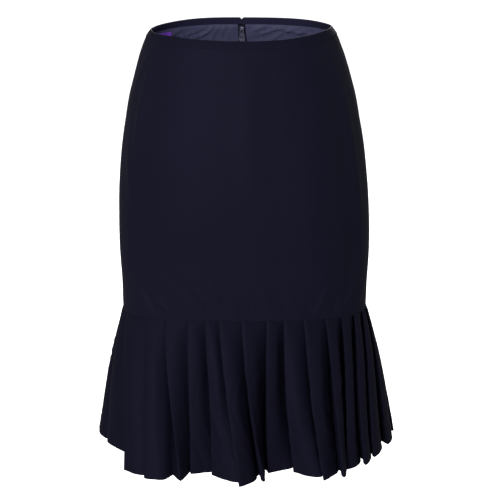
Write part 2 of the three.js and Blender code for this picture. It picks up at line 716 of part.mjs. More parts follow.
// The slider sits on the inner face of the tapes, tilted with the wall, and the tab hangs plumb from it.
const wallPoint = bodyPoint(BACK, SLIDER_HEIGHT);
const wallNormal = bodyNormal(BACK, SLIDER_HEIGHT);
const zip = new THREE.Group();
zip.name = 'zip_hardware';
zip.position.copy(wallPoint).addScaledVector(wallNormal, -(LINING_INSET + ZIP_TAPE_WALL / 2 + SLIDER_GAP));
skirt.add(zip);
const slider = addPiece('zip_slider', joined(sliderBody(), sliderBail()), 'metal', zip);
slider.rotation.x = rad(SLIDER_TILT);
const pull = addPiece('zip_pull', pullTab(), 'metal', zip);
pull.position.set(0, -(SLIDER.depth + PULL_HINGE.out), PULL_HINGE.up).applyEuler(slider.rotation);

export default skirt;
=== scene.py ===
import math

import bmesh
import bpy
import numpy as np
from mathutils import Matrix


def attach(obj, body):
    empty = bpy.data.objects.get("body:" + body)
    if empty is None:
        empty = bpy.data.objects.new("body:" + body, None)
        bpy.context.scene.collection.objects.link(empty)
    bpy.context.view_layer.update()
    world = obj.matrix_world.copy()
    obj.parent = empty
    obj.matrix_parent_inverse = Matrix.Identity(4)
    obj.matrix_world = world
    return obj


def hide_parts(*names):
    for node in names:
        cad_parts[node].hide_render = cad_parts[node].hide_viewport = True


bl_info = {
    "name": "Pleated skirt",
    "version": (1, 0, 0),
    "blender": (4, 5, 0),
    "location": "3D View > Sidebar > Skirt",
    "description": "Makes a fitted skirt with a lining, a back zip and a knife-pleated flounce",
    "category": "Add Mesh",
}

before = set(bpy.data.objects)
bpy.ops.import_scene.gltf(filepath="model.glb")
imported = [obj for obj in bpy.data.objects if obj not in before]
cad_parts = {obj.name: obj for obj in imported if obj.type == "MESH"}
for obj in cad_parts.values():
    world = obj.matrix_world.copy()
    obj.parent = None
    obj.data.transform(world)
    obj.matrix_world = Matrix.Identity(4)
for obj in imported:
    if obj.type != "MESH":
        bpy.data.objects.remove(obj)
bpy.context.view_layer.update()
MM = 0.001
GARMENT = "garment"

# Driving sizes of the body and its band, as in the solids. SEAM_RISE lifts the lower seam at front and back.
SEAM_GAP = 0.3
BODY_LENGTH = 430.5
BAND_HEIGHT = 11.4
BAND_PROUD = 0.3
BAND_THICKNESS = 2.0
WAIST_FADE = 150.0
SEAM_RISE = (9.0, 3.0)
SQUARENESS = 0.02
NOTCH_DEPTH = 3.4
NOTCH_HALF = 1.5

# The lining, the zip and the label. LABEL_SHARES are the label's ends across the left back of the lining, and it
# lies askew: LABEL_TILT is how far its two ends are moved down.
LINING_INSET = 2.0
LINING_WALL = 1.0
LINING_END = 396.0
LINING_HEM = 9.0
ZIP_LENGTH = 186.0
ZIP_TAPE_WIDTH = 5.0
SLIDER_FOOT = 24.5
LABEL_TOP = 15.0
LABEL_HEIGHT = 20.0
LABEL_GAP = 0.45
LABEL_SHARES = (6 / 11 - 0.035, 9 / 11)
LABEL_TILT = (1.0, -3.4)

# The flounce. PLEAT_LAP is how far a pleat's valley runs under the next fold at the seam, and LATE_SHORT how far the
# face's second line stops before that fold. MID_SHARE and LATE_SHARE are where the face's two lines meet the hem, on
# the way from its fold to its valley.
LAYER_PITCH = 1.7
FOLD_RADIUS = 0.9
PLEAT_LAP = 13.0
LATE_SHORT = 2.0
MID_SHARE = 0.4
LATE_SHARE = 0.8
FLOUNCE_DROP = 235.0
HEM_FRONT = -662.0
HEM_SIDE_LIFT = 12.0
HEM_TURN = 30.0

# How each line of a pleat opens on its way down: its distance out goes by a power of the drop, and it hangs in by a
# dip that is deepest a little above the middle, as DIP_POWER sets.
OPENING_POWERS = {"fold": 1.4, "mid": 1.15, "late": 0.9, "valley": 0.9}
DIPS = {"fold": 0.0, "mid": 0.5, "late": -10.0, "valley": -17.0}
DIP_POWER = 0.85

# Fine things of the scene alone. A tooth's pitch, length, width and height, the pitch, length and width of the
# stitches along the zip and the lining's hem, and how strongly the lining wrinkles and ripples.
TOOTH = (1.35, 3.0, 0.8, 0.9)
ZIP_STITCH = (2.6, 1.9, 0.32)
HEM_STITCH = (3.2, 2.2, 0.3)
WRINKLE = 1.25
RIPPLE = 0.8

# Seam allowances, which keep light from passing between pieces: how far the panels and the lining run under the
# band, how far the body runs into the flounce, how far the flounce is drawn in there, and how far pieces lap at
# their side seams.
TUCK = 0.8
FOOT_TUCK = 2.4
SEAM_DRAW = 0.6
SEAM_LAP = 0.1

# Copies of the suiting: lighter inside the band as painted light, darker in the pleats as painted shade.
BAND_PAINTED_LIGHT_SHARE = 3.9
PLEAT_PAINTED_SHADE_SHARE = 0.84

# The stage, in metres. Each softbox: name, place, width and share of the main one's power.
LIGHTS = (
    ("key_light", (-0.92, -2.7, 0.95), 0.8, 1.0),
    ("low_light", (-0.95, -2.75, -0.35), 1.0, 0.7),
    ("right_light", (2.9, 0.6, 0.5), 1.4, 0.22),
    ("left_light", (-2.9, 0.9, 0.5), 1.4, 0.08),
    ("back_light", (0.5, 2.9, 0.9), 1.5, 1.1),
)
LIGHTS_AIM = (0, 0, -0.33)
ROOM_LIGHT = 0.31
FLOOR_LEVEL = -1.1
FLOOR_RADIUS = 20.0
FLOOR_GLOW = 0.98
CAMERA_PLACE = (0.0087, -2.4, 0.4476)
CAMERA_AIM = (0.0087, 0, -0.3424)
CAMERA_LENS = 118.8

# Height of the waist edge above its mean, by angle.
WAIST_EDGE = (
    (-90, -0.8), (-65, -0.4), (-45, 0.8), (-25, -0.5), (0, -1.6), (25, -0.7), (45, 2.5), (65, 4.8), (80, 4.4),
    (95, 2.4), (115, 0.3), (145, -0.3), (175, -1.2), (205, -0.9), (235, -2.8), (255, -2.5), (270, -0.8),
)

# Sections of the body: height below the waist, half width, front depth, back depth, sideways shift.
SECTIONS = (
    (0, 131.5, 92, 96, -4.0),
    (12, 140.0, 98, 101, -3.8),
    (28, 146.6, 102, 105, -3.6),
    (43, 151.9, 105, 108, -3.2),
    (73, 160.6, 109, 114, -2.6),
    (103, 168.4, 112, 120, -2.4),
    (134, 174.0, 114, 125, -2.2),
    (164, 179.2, 115, 129, -1.9),
    (195, 183.2, 115, 131, -1.6),
    (242, 187.4, 113, 130, -1.0),
    (290, 189.6, 108, 126, -0.2),
    (337, 190.0, 102, 120, 0.3),
    (386, 187.8, 97, 114, 0.4),
    (431, 187.0, 92.5, 109, 0.2),
)

# How far the flounce has flared at a share of its drop, and the flare's size: half, front, back, shift.
FLARE = ((0, 0), (0.15, 0.24), (0.35, 0.5), (0.6, 0.74), (0.8, 0.88), (1, 1))
FLARE_SIZE = (37.0, 53.5, 45.0, 1.0)
FLOUNCE_PROUD = 1.2
FLOUNCE_SHIFT = 0.7

# The knife pleats. seam and hem are the fold's angles. out, mid, late and tuck are distances from the hem's mean
# oval at the fold, on the face, before the next fold and in the valley. under is how far the valley runs below
# the next fold, in degrees. bow moves the fold's line sideways half way down, in degrees.
PLEATS = (
    (-72, -48.7, 26, 26, 18, 3.5, 10, 4.5),
    (-50.5, -38.2, 29, 26, 21, -4.6, 0, 1.7),
    (-38, -24.6, 14, -4, -20, -0.6, -28, 0.7),
    (-25.4, -22.6, -13, -22, -30, 2.5, -35, 1),
    (-17.2, -13.8, -18, -6, 2, 2.2, -2, 1.2),
    (-11.2, -2.3, 17, 8, -5, -1.5, -23, 0),
    (-1.5, 7, 1, -14, -31, -1.3, -40, -1.2),
    (9.2, 9.8, -27, -32, -35, 2.5, -39, -1),
    (16.8, 20.4, -21, -2, 8, 2.6, 3, -2),
    (26.2, 29.5, 21, 14, 7, 1.4, 2, -1.4),
    (38, 37.7, 25, 13, 0, 2.4, -6, -0.8),
    (48.8, 42.5, 7, 7, -1, 3, -7, -1),
    (60.5, 51.3, 13, 8, -1, 2.2, -7, -3.6),
    (72.5, 59.7, 6, 3, -6, 3.2, -11, -4),
    (83.5, 75.9, 5, 7, 1, 3.4, -6, -3.6),
    (98, 94, 11, 6, -5, 3.6, -12, -2),
    (111, 108, 3, 2, -7, 3.2, -15, -1),
    (123, 121.5, 12, 9, -1, 3.0, -9, 0.5),
    (133.5, 133, 5, -3, -12, 2.6, -20, -0.6),
    (143, 142, -3, 4, -3, 2.4, -12, 0.8),
    (151.5, 150.2, 14, 8, -4, 2.2, -14, -0.5),
    (160, 158.5, 4, -8, -17, 2.4, -24, 0.4),
    (168.5, 167.2, -8, -4, -8, 2.6, -17, 0.9),
    (177, 175.4, 10, 12, 1, 2.4, -8, -0.7),
    (185.5, 184.6, 15, 3, -12, 2.2, -21, 0.6),
    (194, 192.6, -5, -8, -14, 2.5, -22, -0.8),
    (202.5, 201.4, 2, 8, 2, 2.6, -7, 0.5),
    (211.5, 210.2, 16, 8, -5, 2.4, -14, 0.9),
    (221, 220.5, 4, -5, -13, 2.8, -20, -0.6),
    (232, 233.5, -2, 3, -5, 3.0, -13, 0.8),
    (244, 248, 11, 6, -3, 3.2, -11, 1.5),
    (257, 265, 9, 3, -10, 2.6, -16, 2.4),
    (270.5, 281, -4, -9, -15, -6, -20, 3.4),
)

# Soft creases of the body: angle, height below the waist, half length, width, rise out of the
# cloth, and lean, which is how far it drifts to the right for each millimetre down.
BODY_CREASES = (
    (-66, 40, 45, 7, 1.6, -0.30),
    (-58, 112, 80, 8, 3.0, -0.02),
    (-49, 105, 80, 9, -2.6, 0.02),
    (-63, 200, 70, 9, 2.2, 0.14),
    (-55, 300, 90, 14, -1.8, 0.05),
    (-46, 30, 18, 6, 1.6, -0.5),
    (-30, 200, 150, 26, 1.6, 0.03),
    (2, 150, 130, 15, 1.8, 0),
    (14, 190, 150, 14, -1.2, 0.02),
    (30, 240, 120, 15, 1.1, -0.04),
    (52, 170, 130, 10, -2.8, 0.03),
    (62, 175, 130, 10, 2.4, 0.03),
    (55, 350, 60, 9, -2.2, -0.12),
    (47, 34, 22, 8, 1.7, 0.45),
    (-53, 398, 26, 6, 2.4, 0.55),
    (-46, 402, 24, 5, -2.0, 0.5),
    (-39, 408, 16, 4, 1.7, 0.6),
    (-22, 398, 26, 6, -1.6, 0.7),
    (-17, 402, 22, 5, 1.4, 0.7),
    (-9, 396, 28, 5, -2.2, 0.4),
    (-4.5, 400, 26, 5, 1.9, 0.4),
    (2, 412, 13, 4, -1.3, 0.35),
    (10, 402, 24, 6, 1.8, 0.5),
    (16, 406, 19, 5, -1.6, 0.65),
    (22, 409, 14, 4, 1.6, 0.8),
    (29, 413, 11, 4, -1.4, 0.7),
    (36, 404, 20, 5, 1.6, -0.4),
    (44, 409, 14, 6, -1.6, -0.5),
    (56, 400, 22, 6, 2.0, -0.7),
    (68, 402, 20, 7, 1.8, -0.6),
    (98, 405, 18, 6, 1.8, 0.5),
    (110, 150, 95, 10, -2.4, -0.04),
    (101, 165, 110, 11, 2.2, -0.03),
    (122, 60, 45, 9, 2.0, -0.3),
    (118, 409, 16, 6, 1.8, 0.5),
    (131, 408, 17, 5, -1.5, 0.4),
    (140, 240, 140, 22, 1.6, 0.03),
    (146, 404, 20, 6, 2.0, -0.5),
    (158, 410, 14, 5, 1.7, 0.4),
    (163, 200, 100, 16, -1.2, -0.03),
    (172, 401, 23, 6, 2.0, 0.35),
    (187, 403, 20, 6, 1.9, -0.4),
    (199, 410, 14, 5, 1.6, -0.5),
    (206, 260, 140, 20, 1.5, 0.04),
    (214, 405, 19, 6, -1.5, 0.5),
    (227, 408, 15, 5, 1.8, 0.4),
    (238, 60, 45, 9, 1.9, 0.3),
    (243, 406, 17, 6, 2.0, -0.5),
    (250, 170, 110, 11, -2.3, 0.04),
    (259, 180, 110, 10, 2.0, 0.04),
    (258, 406, 17, 6, 1.8, 0.5),
)

# Wrinkles of the lining, raised towards the wearer: the same columns.
LINING_CREASES = (
    (184.4, 25, 15, 1.1, 2, 0.1),
    (186, 19, 10, 1.2, 2.6, -0.15),
    (187.6, 26, 14, 1.1, 2.2, 0.22),
    (189.2, 18, 10, 1.3, 2.8, -0.25),
    (190.9, 25, 13, 1.2, 2.3, 0.18),
    (192.8, 17, 9, 1.5, 2.6, -0.4),
    (195.6, 24, 11, 1.7, 2.4, 0.35),
    (199.6, 20, 9, 2.2, 2.7, 1.2),
    (205, 28, 7, 2.6, 3.2, 3),
    (211.5, 23, 6, 2.4, 3.5, 3.4),
    (219, 27, 8, 3.2, 3, -2.6),
    (226, 22, 9, 3.4, 2.7, 1.6),
    (174.6, 27, 8, 2.2, 3.4, 2.2),
    (170, 17, 7, 2.6, 4.4, 2.2),
    (168, 25, 7, 2.4, 3.8, 2.6),
    (163, 20, 6, 3, 3.6, 3.2),
    (160.5, 30, 9, 3, 2.6, 1.8),
    (152, 19, 3.5, 5, 3.8, -6),
    (145, 21, 3.5, 6, 4, -7),
    (138, 20, 3.5, 6, 3.4, -6.5),
    (134.5, 32, 12, 4.6, 2.2, 1.2),
    (126, 26, 14, 4.8, 2, -0.9),
    (117, 34, 16, 5.5, 1.9, 0.8),
    (30, 120, 80, 12, 1.6, 0.05),
    (-25, 150, 90, 13, 1.6, -0.04),
    (0, 330, 60, 12, 1.8, 0.03),
    (150, 330, 60, 12, 1.8, -0.05),
    (210, 320, 60, 12, 1.8, 0.05),
)


def smooth(table, column, at):
    """A table's column read at any place: a cubic between rows whose slopes are the chords of the rows beside."""
    places = np.array([row[0] for row in table], float)
    values = np.array([row[column] for row in table], float)
    last = len(places) - 1
    before = np.maximum(np.arange(last + 1) - 1, 0)
    after = np.minimum(np.arange(last + 1) + 1, last)
    slopes = (values[after] - values[before]) / (places[after] - places[before])
    i = np.clip(np.searchsorted(places, at, side="right") - 1, 0, last - 1)
    run = places[i + 1] - places[i]
    s = np.clip((at - places[i]) / run, 0, 1)
    s2 = s * s
    s3 = s2 * s
    return (
        (2 * s3 - 3 * s2 + 1) * values[i]
        + (s3 - 2 * s2 + s) * run * slopes[i]
        + (3 * s2 - 2 * s3) * values[i + 1]
        + (s3 - s2) * run * slopes[i + 1]
    )


def mix(a, b, share):
    """The value at a share of the way from a to b."""
    return a + (b - a) * share


def ease(x, low, high):
    """0 below low, 1 above high, and a smooth step between."""
    s = np.clip((x - low) / (high - low), 0, 1)
    return s * s * (3 - 2 * s)


def waver(x, phase=0.0):
    """An uneven wave of about one unit's height: four sines whose lengths have no common measure."""
    return (
        np.sin(x + phase)
        + 0.7 * np.sin(2.31 * x + 1.3 + 2 * phase)
        + 0.5 * np.sin(3.87 * x + 4.1 - phase)
        + 0.6 * np.sin(0.57 * x + 2.2 + 3 * phase)
    ) / 2.2


def body_size(h):
    """Half width, front depth, back depth, shift and squareness of the body's section at a height."""
    return [smooth(SECTIONS, k, h) for k in (1, 2, 3, 4)] + [SQUARENESS]


def flounce_size(v):
    """The mean oval of the flounce at a share of its drop: the seam's section plus a share of the flare."""
    share = smooth(FLARE, 1, v)
    half, front, back, shift, square = body_size(BODY_LENGTH)
    return [
        half + FLOUNCE_PROUD + FLARE_SIZE[0] * share,
        front + FLOUNCE_PROUD + FLARE_SIZE[1] * share,
        back + FLOUNCE_PROUD + FLARE_SIZE[2] * share,
        shift + FLOUNCE_SHIFT + FLARE_SIZE[3] * share,
        square * (1 - v),
    ]


def oval(size, angle):
    """Plan point of an oval: x is the half width times the sine, y the depth times the cosine, each with a small
    third harmonic that squares the corners."""
    half, front, back, shift, square = size
    t = np.radians(angle)
    depth = np.where(np.cos(t) > 0, front, back)
    x = shift + half * ((1 + square) * np.sin(t) + square * np.sin(3 * t))
    y = -depth * ((1 + square) * np.cos(t) - square * np.cos(3 * t))
    return np.stack(np.broadcast_arrays(x, y), -1)


def oval_step(size, angle):
    """Travel round an oval for each degree."""
    reach = 0.05
    return (oval(size, angle + reach) - oval(size, angle - reach)) / (2 * reach)


def oval_out(size, angle, out):
    """An oval's point moved out along its normal."""
    step = oval_step(size, angle)
    step = step / np.linalg.norm(step, axis=-1, keepdims=True)
    normal = np.stack([step[..., 1], -step[..., 0]], -1)
    return oval(size, angle) + normal * np.asarray(out)[..., None]


def degrees_for(size, angle, length):
    """The angle that a length takes up round an oval."""
    return length / np.linalg.norm(oval_step(size, angle), axis=-1)


def seam_rise(angle):
    """How much higher the lower seam is than at the sides: the front's or back's rise by the cosine squared."""
    c = np.cos(np.radians(angle))
    return np.where(c > 0, SEAM_RISE[0], SEAM_RISE[1]) * c * c


def body_point(angle, h):
    """The body's centreline: an oval at each height, lifted at the waist edge and raised at the lower seam."""
    angle, h = np.broadcast_arrays(np.asarray(angle, float), np.asarray(h, float))
    plan = oval(body_size(h), angle)
    fade = np.maximum(0, 1 - h / WAIST_FADE) ** 2
    z = -h + smooth(WAIST_EDGE, 1, angle) * fade + seam_rise(angle) * (h / BODY_LENGTH) ** 2
    return np.concatenate([plan, z[..., None]], -1)


def body_normal(angle, h):
    """Outward normal: the cross of a short step down and a short step round."""
    reach = 0.2
    round_step = body_point(angle + reach, h) - body_point(angle - reach, h)
    down_step = body_point(angle, h + reach) - body_point(angle, h - reach)
    normal = np.cross(down_step, round_step)
    return normal / np.linalg.norm(normal, axis=-1, keepdims=True)


def on_body(angle, h, out):
    """A point of the body moved out along its normal."""
    return body_point(angle, h) + body_normal(angle, h) * np.asarray(out)[..., None]


def creases(table, angle, h):
    """Sum of soft folds: each is a bell across its width, faded by a bell along its length, on a leaning line."""
    size = body_size(h)
    scale = np.linalg.norm(oval_step(size, angle), axis=-1)
    total = np.zeros(np.broadcast(angle, h).shape)
    for at, height, length, width, rise, lean in table:
        down = h - height
        across = (angle - at) * scale - lean * down - 1.2 * np.sin(down / length * 2.1 + at)
        total = total + rise * np.exp(-((across / width) ** 2) - (down / length) ** 2)
    return total


def body_relief(angle, h, strength):
    """How far the body's cloth stands off its form: two crossed waves for a soft unevenness, the creases, which the
    lower seam holds flat, and puckers that die away from the seams."""
    soft = 0.32 * waver(h / 34 + angle / 21, 0.4) * waver(angle / 13 - h / 90, 1.7)
    fade = ease(h, BAND_HEIGHT, BAND_HEIGHT + 26)
    low = np.maximum(BODY_LENGTH - h, 0)
    held = 1 - 0.75 * np.exp(-low / 4)
    pucker = 0.22 * waver(angle * 0.62 + 0.4 * np.sin(h / 9), 2.2) * np.exp(-low / 9)
    high = 0.10 * waver(angle * 0.8, 0.9) * np.exp(-(h - BAND_HEIGHT) / 7)
    return strength * (soft * fade + creases(BODY_CREASES, angle, h) * fade * held + pucker + high)


def side_pucker(distance, h, phase):
    """Small pulls of the thread along a side seam."""
    return 0.16 * waver(h / 4.6, phase) * np.exp(-distance / 5)


def rounded(distance, radius):
    """Share of the full thickness at a distance from an edge: a quarter circle that nearly closes the edge, where
    a narrow rim joins the two sides."""
    inner = 1 - np.clip(distance / radius, 0, 1)
    return np.maximum(np.sqrt(1 - inner * inner), 0.06)


def spaced(length, step, radius):
    """Places along a length: a few close ones at each end for the rounded edge, and even ones between."""
    edge = np.array([0, 0.04, 0.16, 0.36, 0.64, 1.0]) * radius
    count = max(int(round((length - 2 * radius) / step)), 2)
    middle = np.linspace(radius, length - radius, count + 1)[1:-1]
    return np.concatenate([edge, middle, length - edge[::-1]]) / length


def grid_faces(rows, columns, flip=False):
    """Corner numbers of the faces of a grid of points."""
    i, j = np.meshgrid(np.arange(rows - 1), np.arange(columns - 1), indexing="ij")
    a = (i * columns + j).ravel()
    quads = np.stack([a, a + columns, a + columns + 1, a + 1], 1)
    return quads[:, ::-1] if flip else quads


def rim_faces(rows, columns):
    """Faces that join the four edges of an outer grid to those of the inner grid numbered after it."""
    first = np.arange(rows * columns).reshape(rows, columns)
    second = first + rows * columns
    top = np.stack([first[0, :-1], first[0, 1:], second[0, 1:], second[0, :-1]], 1)
    foot = np.stack([first[-1, :-1], second[-1, :-1], second[-1, 1:], first[-1, 1:]], 1)
    left = np.stack([first[:-1, 0], second[:-1, 0], second[1:, 0], first[1:, 0]], 1)
    right = np.stack([first[:-1, -1], first[1:, -1], second[1:, -1], second[:-1, -1]], 1)
    return np.concatenate([top, foot, left, right])


def wall(outer, inner, u, v):
    """A closed cloth wall from two grids of points, with the cloth's own coordinates at each point."""
    rows, columns = outer.shape[:2]
    points = np.concatenate([outer.reshape(-1, 3), inner.reshape(-1, 3)])
    faces = np.concatenate([
        grid_faces(rows, columns),
        grid_faces(rows, columns, flip=True) + rows * columns,
        rim_faces(rows, columns),
    ])
    grain = np.stack(np.broadcast_arrays(u, v), -1).reshape(-1, 2)
    return points, faces, np.concatenate([grain, grain])


def make_mesh(name, parts, material, slot_name, *nodes, body=GARMENT, facing=None, weld=False):
    """Puts parts, each of points in millimetres, faces and grain coordinates in millimetres, into one object.
    facing is another material for the inner side of a single wall. weld closes the poles of round bars."""
    points = np.concatenate([p for p, f, g in parts]) * MM
    starts = np.cumsum([0] + [len(p) for p, f, g in parts[:-1]])
    faces = np.concatenate([f + start for (p, f, g), start in zip(parts, starts)])
    grain = np.concatenate([g for p, f, g in parts]) * MM
    mesh = bpy.data.meshes.new(name)
    mesh.vertices.add(len(points))
    mesh.vertices.foreach_set("co", points.astype(np.float32).ravel())
    mesh.loops.add(faces.size)
    mesh.loops.foreach_set("vertex_index", faces.astype(np.int32).ravel())
    mesh.polygons.add(len(faces))
    mesh.polygons.foreach_set("loop_start", np.arange(0, faces.size, 4, dtype=np.int32))
    mesh.update(calc_edges=True)
    mesh.polygons.foreach_set("use_smooth", np.ones(len(faces), bool))
    layer = mesh.uv_layers.new(name="grain")
    layer.data.foreach_set("uv", grain[faces.ravel()].astype(np.float32).ravel())
    mesh.materials.append(material)
    if facing is not None:
        mesh.materials.append(facing)
        corners = faces.min(axis=1) >= len(points) // 2
        mesh.polygons.foreach_set("material_index", corners.astype(np.int32))
    mesh.validate()
    if weld:
        shape = bmesh.new()
        shape.from_mesh(mesh)
        bmesh.ops.remove_doubles(shape, verts=shape.verts, dist=1e-7)
        shape.to_mesh(mesh)
        shape.free()
    piece = bpy.data.objects.new(name, mesh)
    bpy.context.scene.collection.objects.link(piece)
    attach(piece, body)
    if nodes:
        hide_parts(*nodes)
    return piece


def seam_edges(start, end, h, start_gap, end_gap):
    """Angles at which a panel starts and ends at a height, each stopping short of its neighbour by a gap."""
    size = body_size(h)
    low = start + degrees_for(size, np.full_like(h, start), start_gap)
    high = end - degrees_for(size, np.full_like(h, end), end_gap)
    return low, high


def lining_gap(h):
    """The lining's centre-back edge stands clear of the zip, then closes below its end."""
    return mix(ZIP_TAPE_WIDTH + 2 * SEAM_GAP, -SEAM_LAP, ease(h, ZIP_LENGTH + 2, ZIP_LENGTH + 12))


def panel(start, end, top, foot, offset, thickness, step, relief, start_gap=None, end_gap=None, radius=0.6):
    """A panel on the body: even columns between its seams and even rows from top to foot, moved out by relief and,
    below the band, by offset, with half the thickness to each side and rounded edges. The seams lap by a little
    unless start_gap or end_gap gives the gap at each height."""
    middle = 0.5 * (top + foot)
    around = abs(end - start) * float(np.linalg.norm(oval_step(body_size(middle), 0.5 * (start + end))))
    across = spaced(around, step, radius)[None, :]
    down = spaced(foot - top, step, radius)[:, None]
    h = mix(top, foot, down)
    plain = np.full_like(h, -SEAM_LAP)
    low, high = seam_edges(
        start, end, h, plain if start_gap is None else start_gap(h), plain if end_gap is None else end_gap(h)
    )
    angle = mix(low, high, across)
    h = np.broadcast_to(h, angle.shape)
    scale = np.linalg.norm(oval_step(body_size(h), angle), axis=-1)
    from_side = np.minimum(angle - low, high - angle) * scale
    from_end = np.minimum(h - top, foot - h)
    half = 0.5 * thickness * rounded(from_side, radius) * rounded(from_end, 0.25)
    lift = offset * ease(h, BAND_HEIGHT - 0.4, BAND_HEIGHT + 1.6) + relief(angle, h, from_side)
    normal = body_normal(angle, h)
    centre = body_point(angle, h)
    outer = centre + normal * (lift + half)[..., None]
    inner = centre + normal * (lift - half)[..., None]
    return wall(outer, inner, angle * scale.mean(), h)


def hairpin(tip, one, other, size):
    """A turn of the cloth round a tip: two points beside it, a layer apart, opening between the two directions."""
    scale = np.linalg.norm(oval_step(size, tip[0]), axis=-1)

    def toward(point):
        """Direction in plan from the tip to a point."""
        run = np.stack([(point[0] - tip[0]) * scale, point[1] - tip[1]])
        return run / np.linalg.norm(run, axis=0)

    axis = toward(one) + toward(other)
    axis = axis / np.linalg.norm(axis, axis=0)
    across = np.stack([-axis[1], axis[0]])
    sides = []
    for side in (-1, 1):
        step = axis * FOLD_RADIUS + across * side * LAYER_PITCH / 2
        sides.append((tip[0] + step[0] / scale, tip[1] + step[1]))
    return sides[0], tip, sides[1]


def pleat_rows(first, count):
    """Rows of the pleat table round and round, with a whole turn added each time it starts again."""
    picks = np.arange(first, first + count)
    turns = picks // len(PLEATS)
    rows = np.array(PLEATS, float)[picks - turns * len(PLEATS)]
    rows[:, 0] += 360 * turns
    rows[:, 1] += 360 * turns
    return rows


def pleat_points(first, count, v):
    """Angle and distance out of every fold, face and valley, for each level (down) and pleat (across).
    The angle goes evenly from the seam's to the hem's, and the distance by a power of the drop."""
    rows = pleat_rows(first - 1, count + 3)
    here, after = rows[:-1], rows[1:]
    seam, hem, out, mid, late, under, tuck, bow = here.T
    next_seam, next_hem, next_bow = after[:, 0], after[:, 1], after[:, 7]
    top = flounce_size(0.0)
    valley_hem = next_hem + under
    valley_seam = next_seam + degrees_for(top, next_seam, PLEAT_LAP)
    mid_seam = seam + degrees_for(top, seam, PLEAT_LAP)
    late_seam = next_seam - degrees_for(top, next_seam, LATE_SHORT)

    def fall(angle):
        """How far the layers step in from one fold to the next at the seam: two layers in all."""
        return -2 * LAYER_PITCH * (angle - seam) / (next_seam - seam)

    def hang(kind, seam_angle, seam_out, hem_angle, hem_out, bend):
        """A line's angle and distance out at each level, on its way from the seam to the hem."""
        angle = mix(seam_angle, hem_angle, v) + bend * np.sin(np.pi * v)
        out = mix(seam_out, hem_out, v ** OPENING_POWERS[kind])
        return angle, out + DIPS[kind] * np.sin(np.pi * v ** DIP_POWER)

    def at_hem(share):
        """Angle at the hem at a share of the way from the fold to the valley."""
        return mix(hem, valley_hem, share)

    return {
        "fold": hang("fold", seam, np.full_like(seam, -LAYER_PITCH / 2), hem, out, bow),
        "mid": hang("mid", mid_seam, fall(mid_seam), at_hem(MID_SHARE), mid, mix(bow, next_bow, MID_SHARE)),
        "late": hang("late", late_seam, fall(late_seam), at_hem(LATE_SHARE), late, mix(bow, next_bow, LATE_SHARE)),
        "valley": hang("valley", valley_seam, fall(valley_seam) + LAYER_PITCH / 2, valley_hem, tuck, next_bow),
    }


def curve_through(points, parts):
    """Fine points along a polyline: a cubic for each span whose end slopes are the mean of the chords beside it,
    weighted by the other chord's length. parts is the number of steps in each span."""
    chord = np.diff(points, axis=1)
    length = np.maximum(np.linalg.norm(chord, axis=-1, keepdims=True), 1e-6)
    slope = chord / length
    before, after = length[:, :-1], length[:, 1:]
    inner = (slope[:, :-1] * after + slope[:, 1:] * before) / (before + after)
    tangent = np.concatenate([slope[:, :1], inner, slope[:, -1:]], 1)
    span = np.repeat(np.arange(len(parts)), parts)
    s = np.concatenate([np.arange(n) / n for n in parts])[None, :, None]
    run = length[:, span]
    s2, s3 = s * s, s * s * s
    fine = (
        (2 * s3 - 3 * s2 + 1) * points[:, span]
        + (s3 - 2 * s2 + s) * run * tangent[:, span]
        + (3 * s2 - 2 * s3) * points[:, span + 1]
        + (s3 - s2) * run * tangent[:, span + 1]
    )
    return np.concatenate([fine, points[:, -1:]], 1)


def pleat_path(first, count, v):
    """Plan path of the cloth round the flounce at every level, from one joining seam to the other: for each pleat
    the turn of its fold, its face, and the turn of its valley back to the next fold. The top is drawn in."""
    size = flounce_size(v)
    at = pleat_points(first, count, v)

    def pick(kind, start):
        """A line's angle and distance out for each pleat of the strip."""
        return at[kind][0][:, start:start + count], at[kind][1][:, start:start + count]

    fold, valley = pick("fold", 1), pick("valley", 1)
    mid, late = pick("mid", 1), pick("late", 1)
    last_valley, next_fold = pick("valley", 0), pick("fold", 2)
    turn = hairpin(fold, mid, last_valley, size)
    tuck = hairpin(valley, late, next_fold, size)
    stops = [*turn, mid, late, tuck[2], tuck[1], tuck[0]]
    angle = np.stack([p[0] for p in stops], -1).reshape(len(v), -1)
    out = np.stack([p[1] for p in stops], -1).reshape(len(v), -1)

    def join(low, high, side):
        """The end of a strip, half way from a valley to the next fold and a little past it."""
        scale = np.linalg.norm(oval_step(size, high[0]), axis=-1)
        length = np.hypot((high[0] - low[0]) * scale, high[1] - low[1])
        share = 0.5 - side * SEAM_LAP / length
        return mix(low[0], high[0], share), mix(low[1], high[1], share)

    def column(pair, k):
        return pair[0][:, k:k + 1], pair[1][:, k:k + 1]

    begin = join(column(last_valley, 0), column(fold, 0), 1)
    finish = join(column(valley, count - 1), column(next_fold, count - 1), -1)
    angle = np.concatenate([begin[0], angle, finish[0]], 1)
    out = np.concatenate([begin[1], out, finish[1]], 1)
    drawn = SEAM_DRAW * (1 - ease(v, 0, 0.02))
    return oval_out(size, angle, out - drawn)


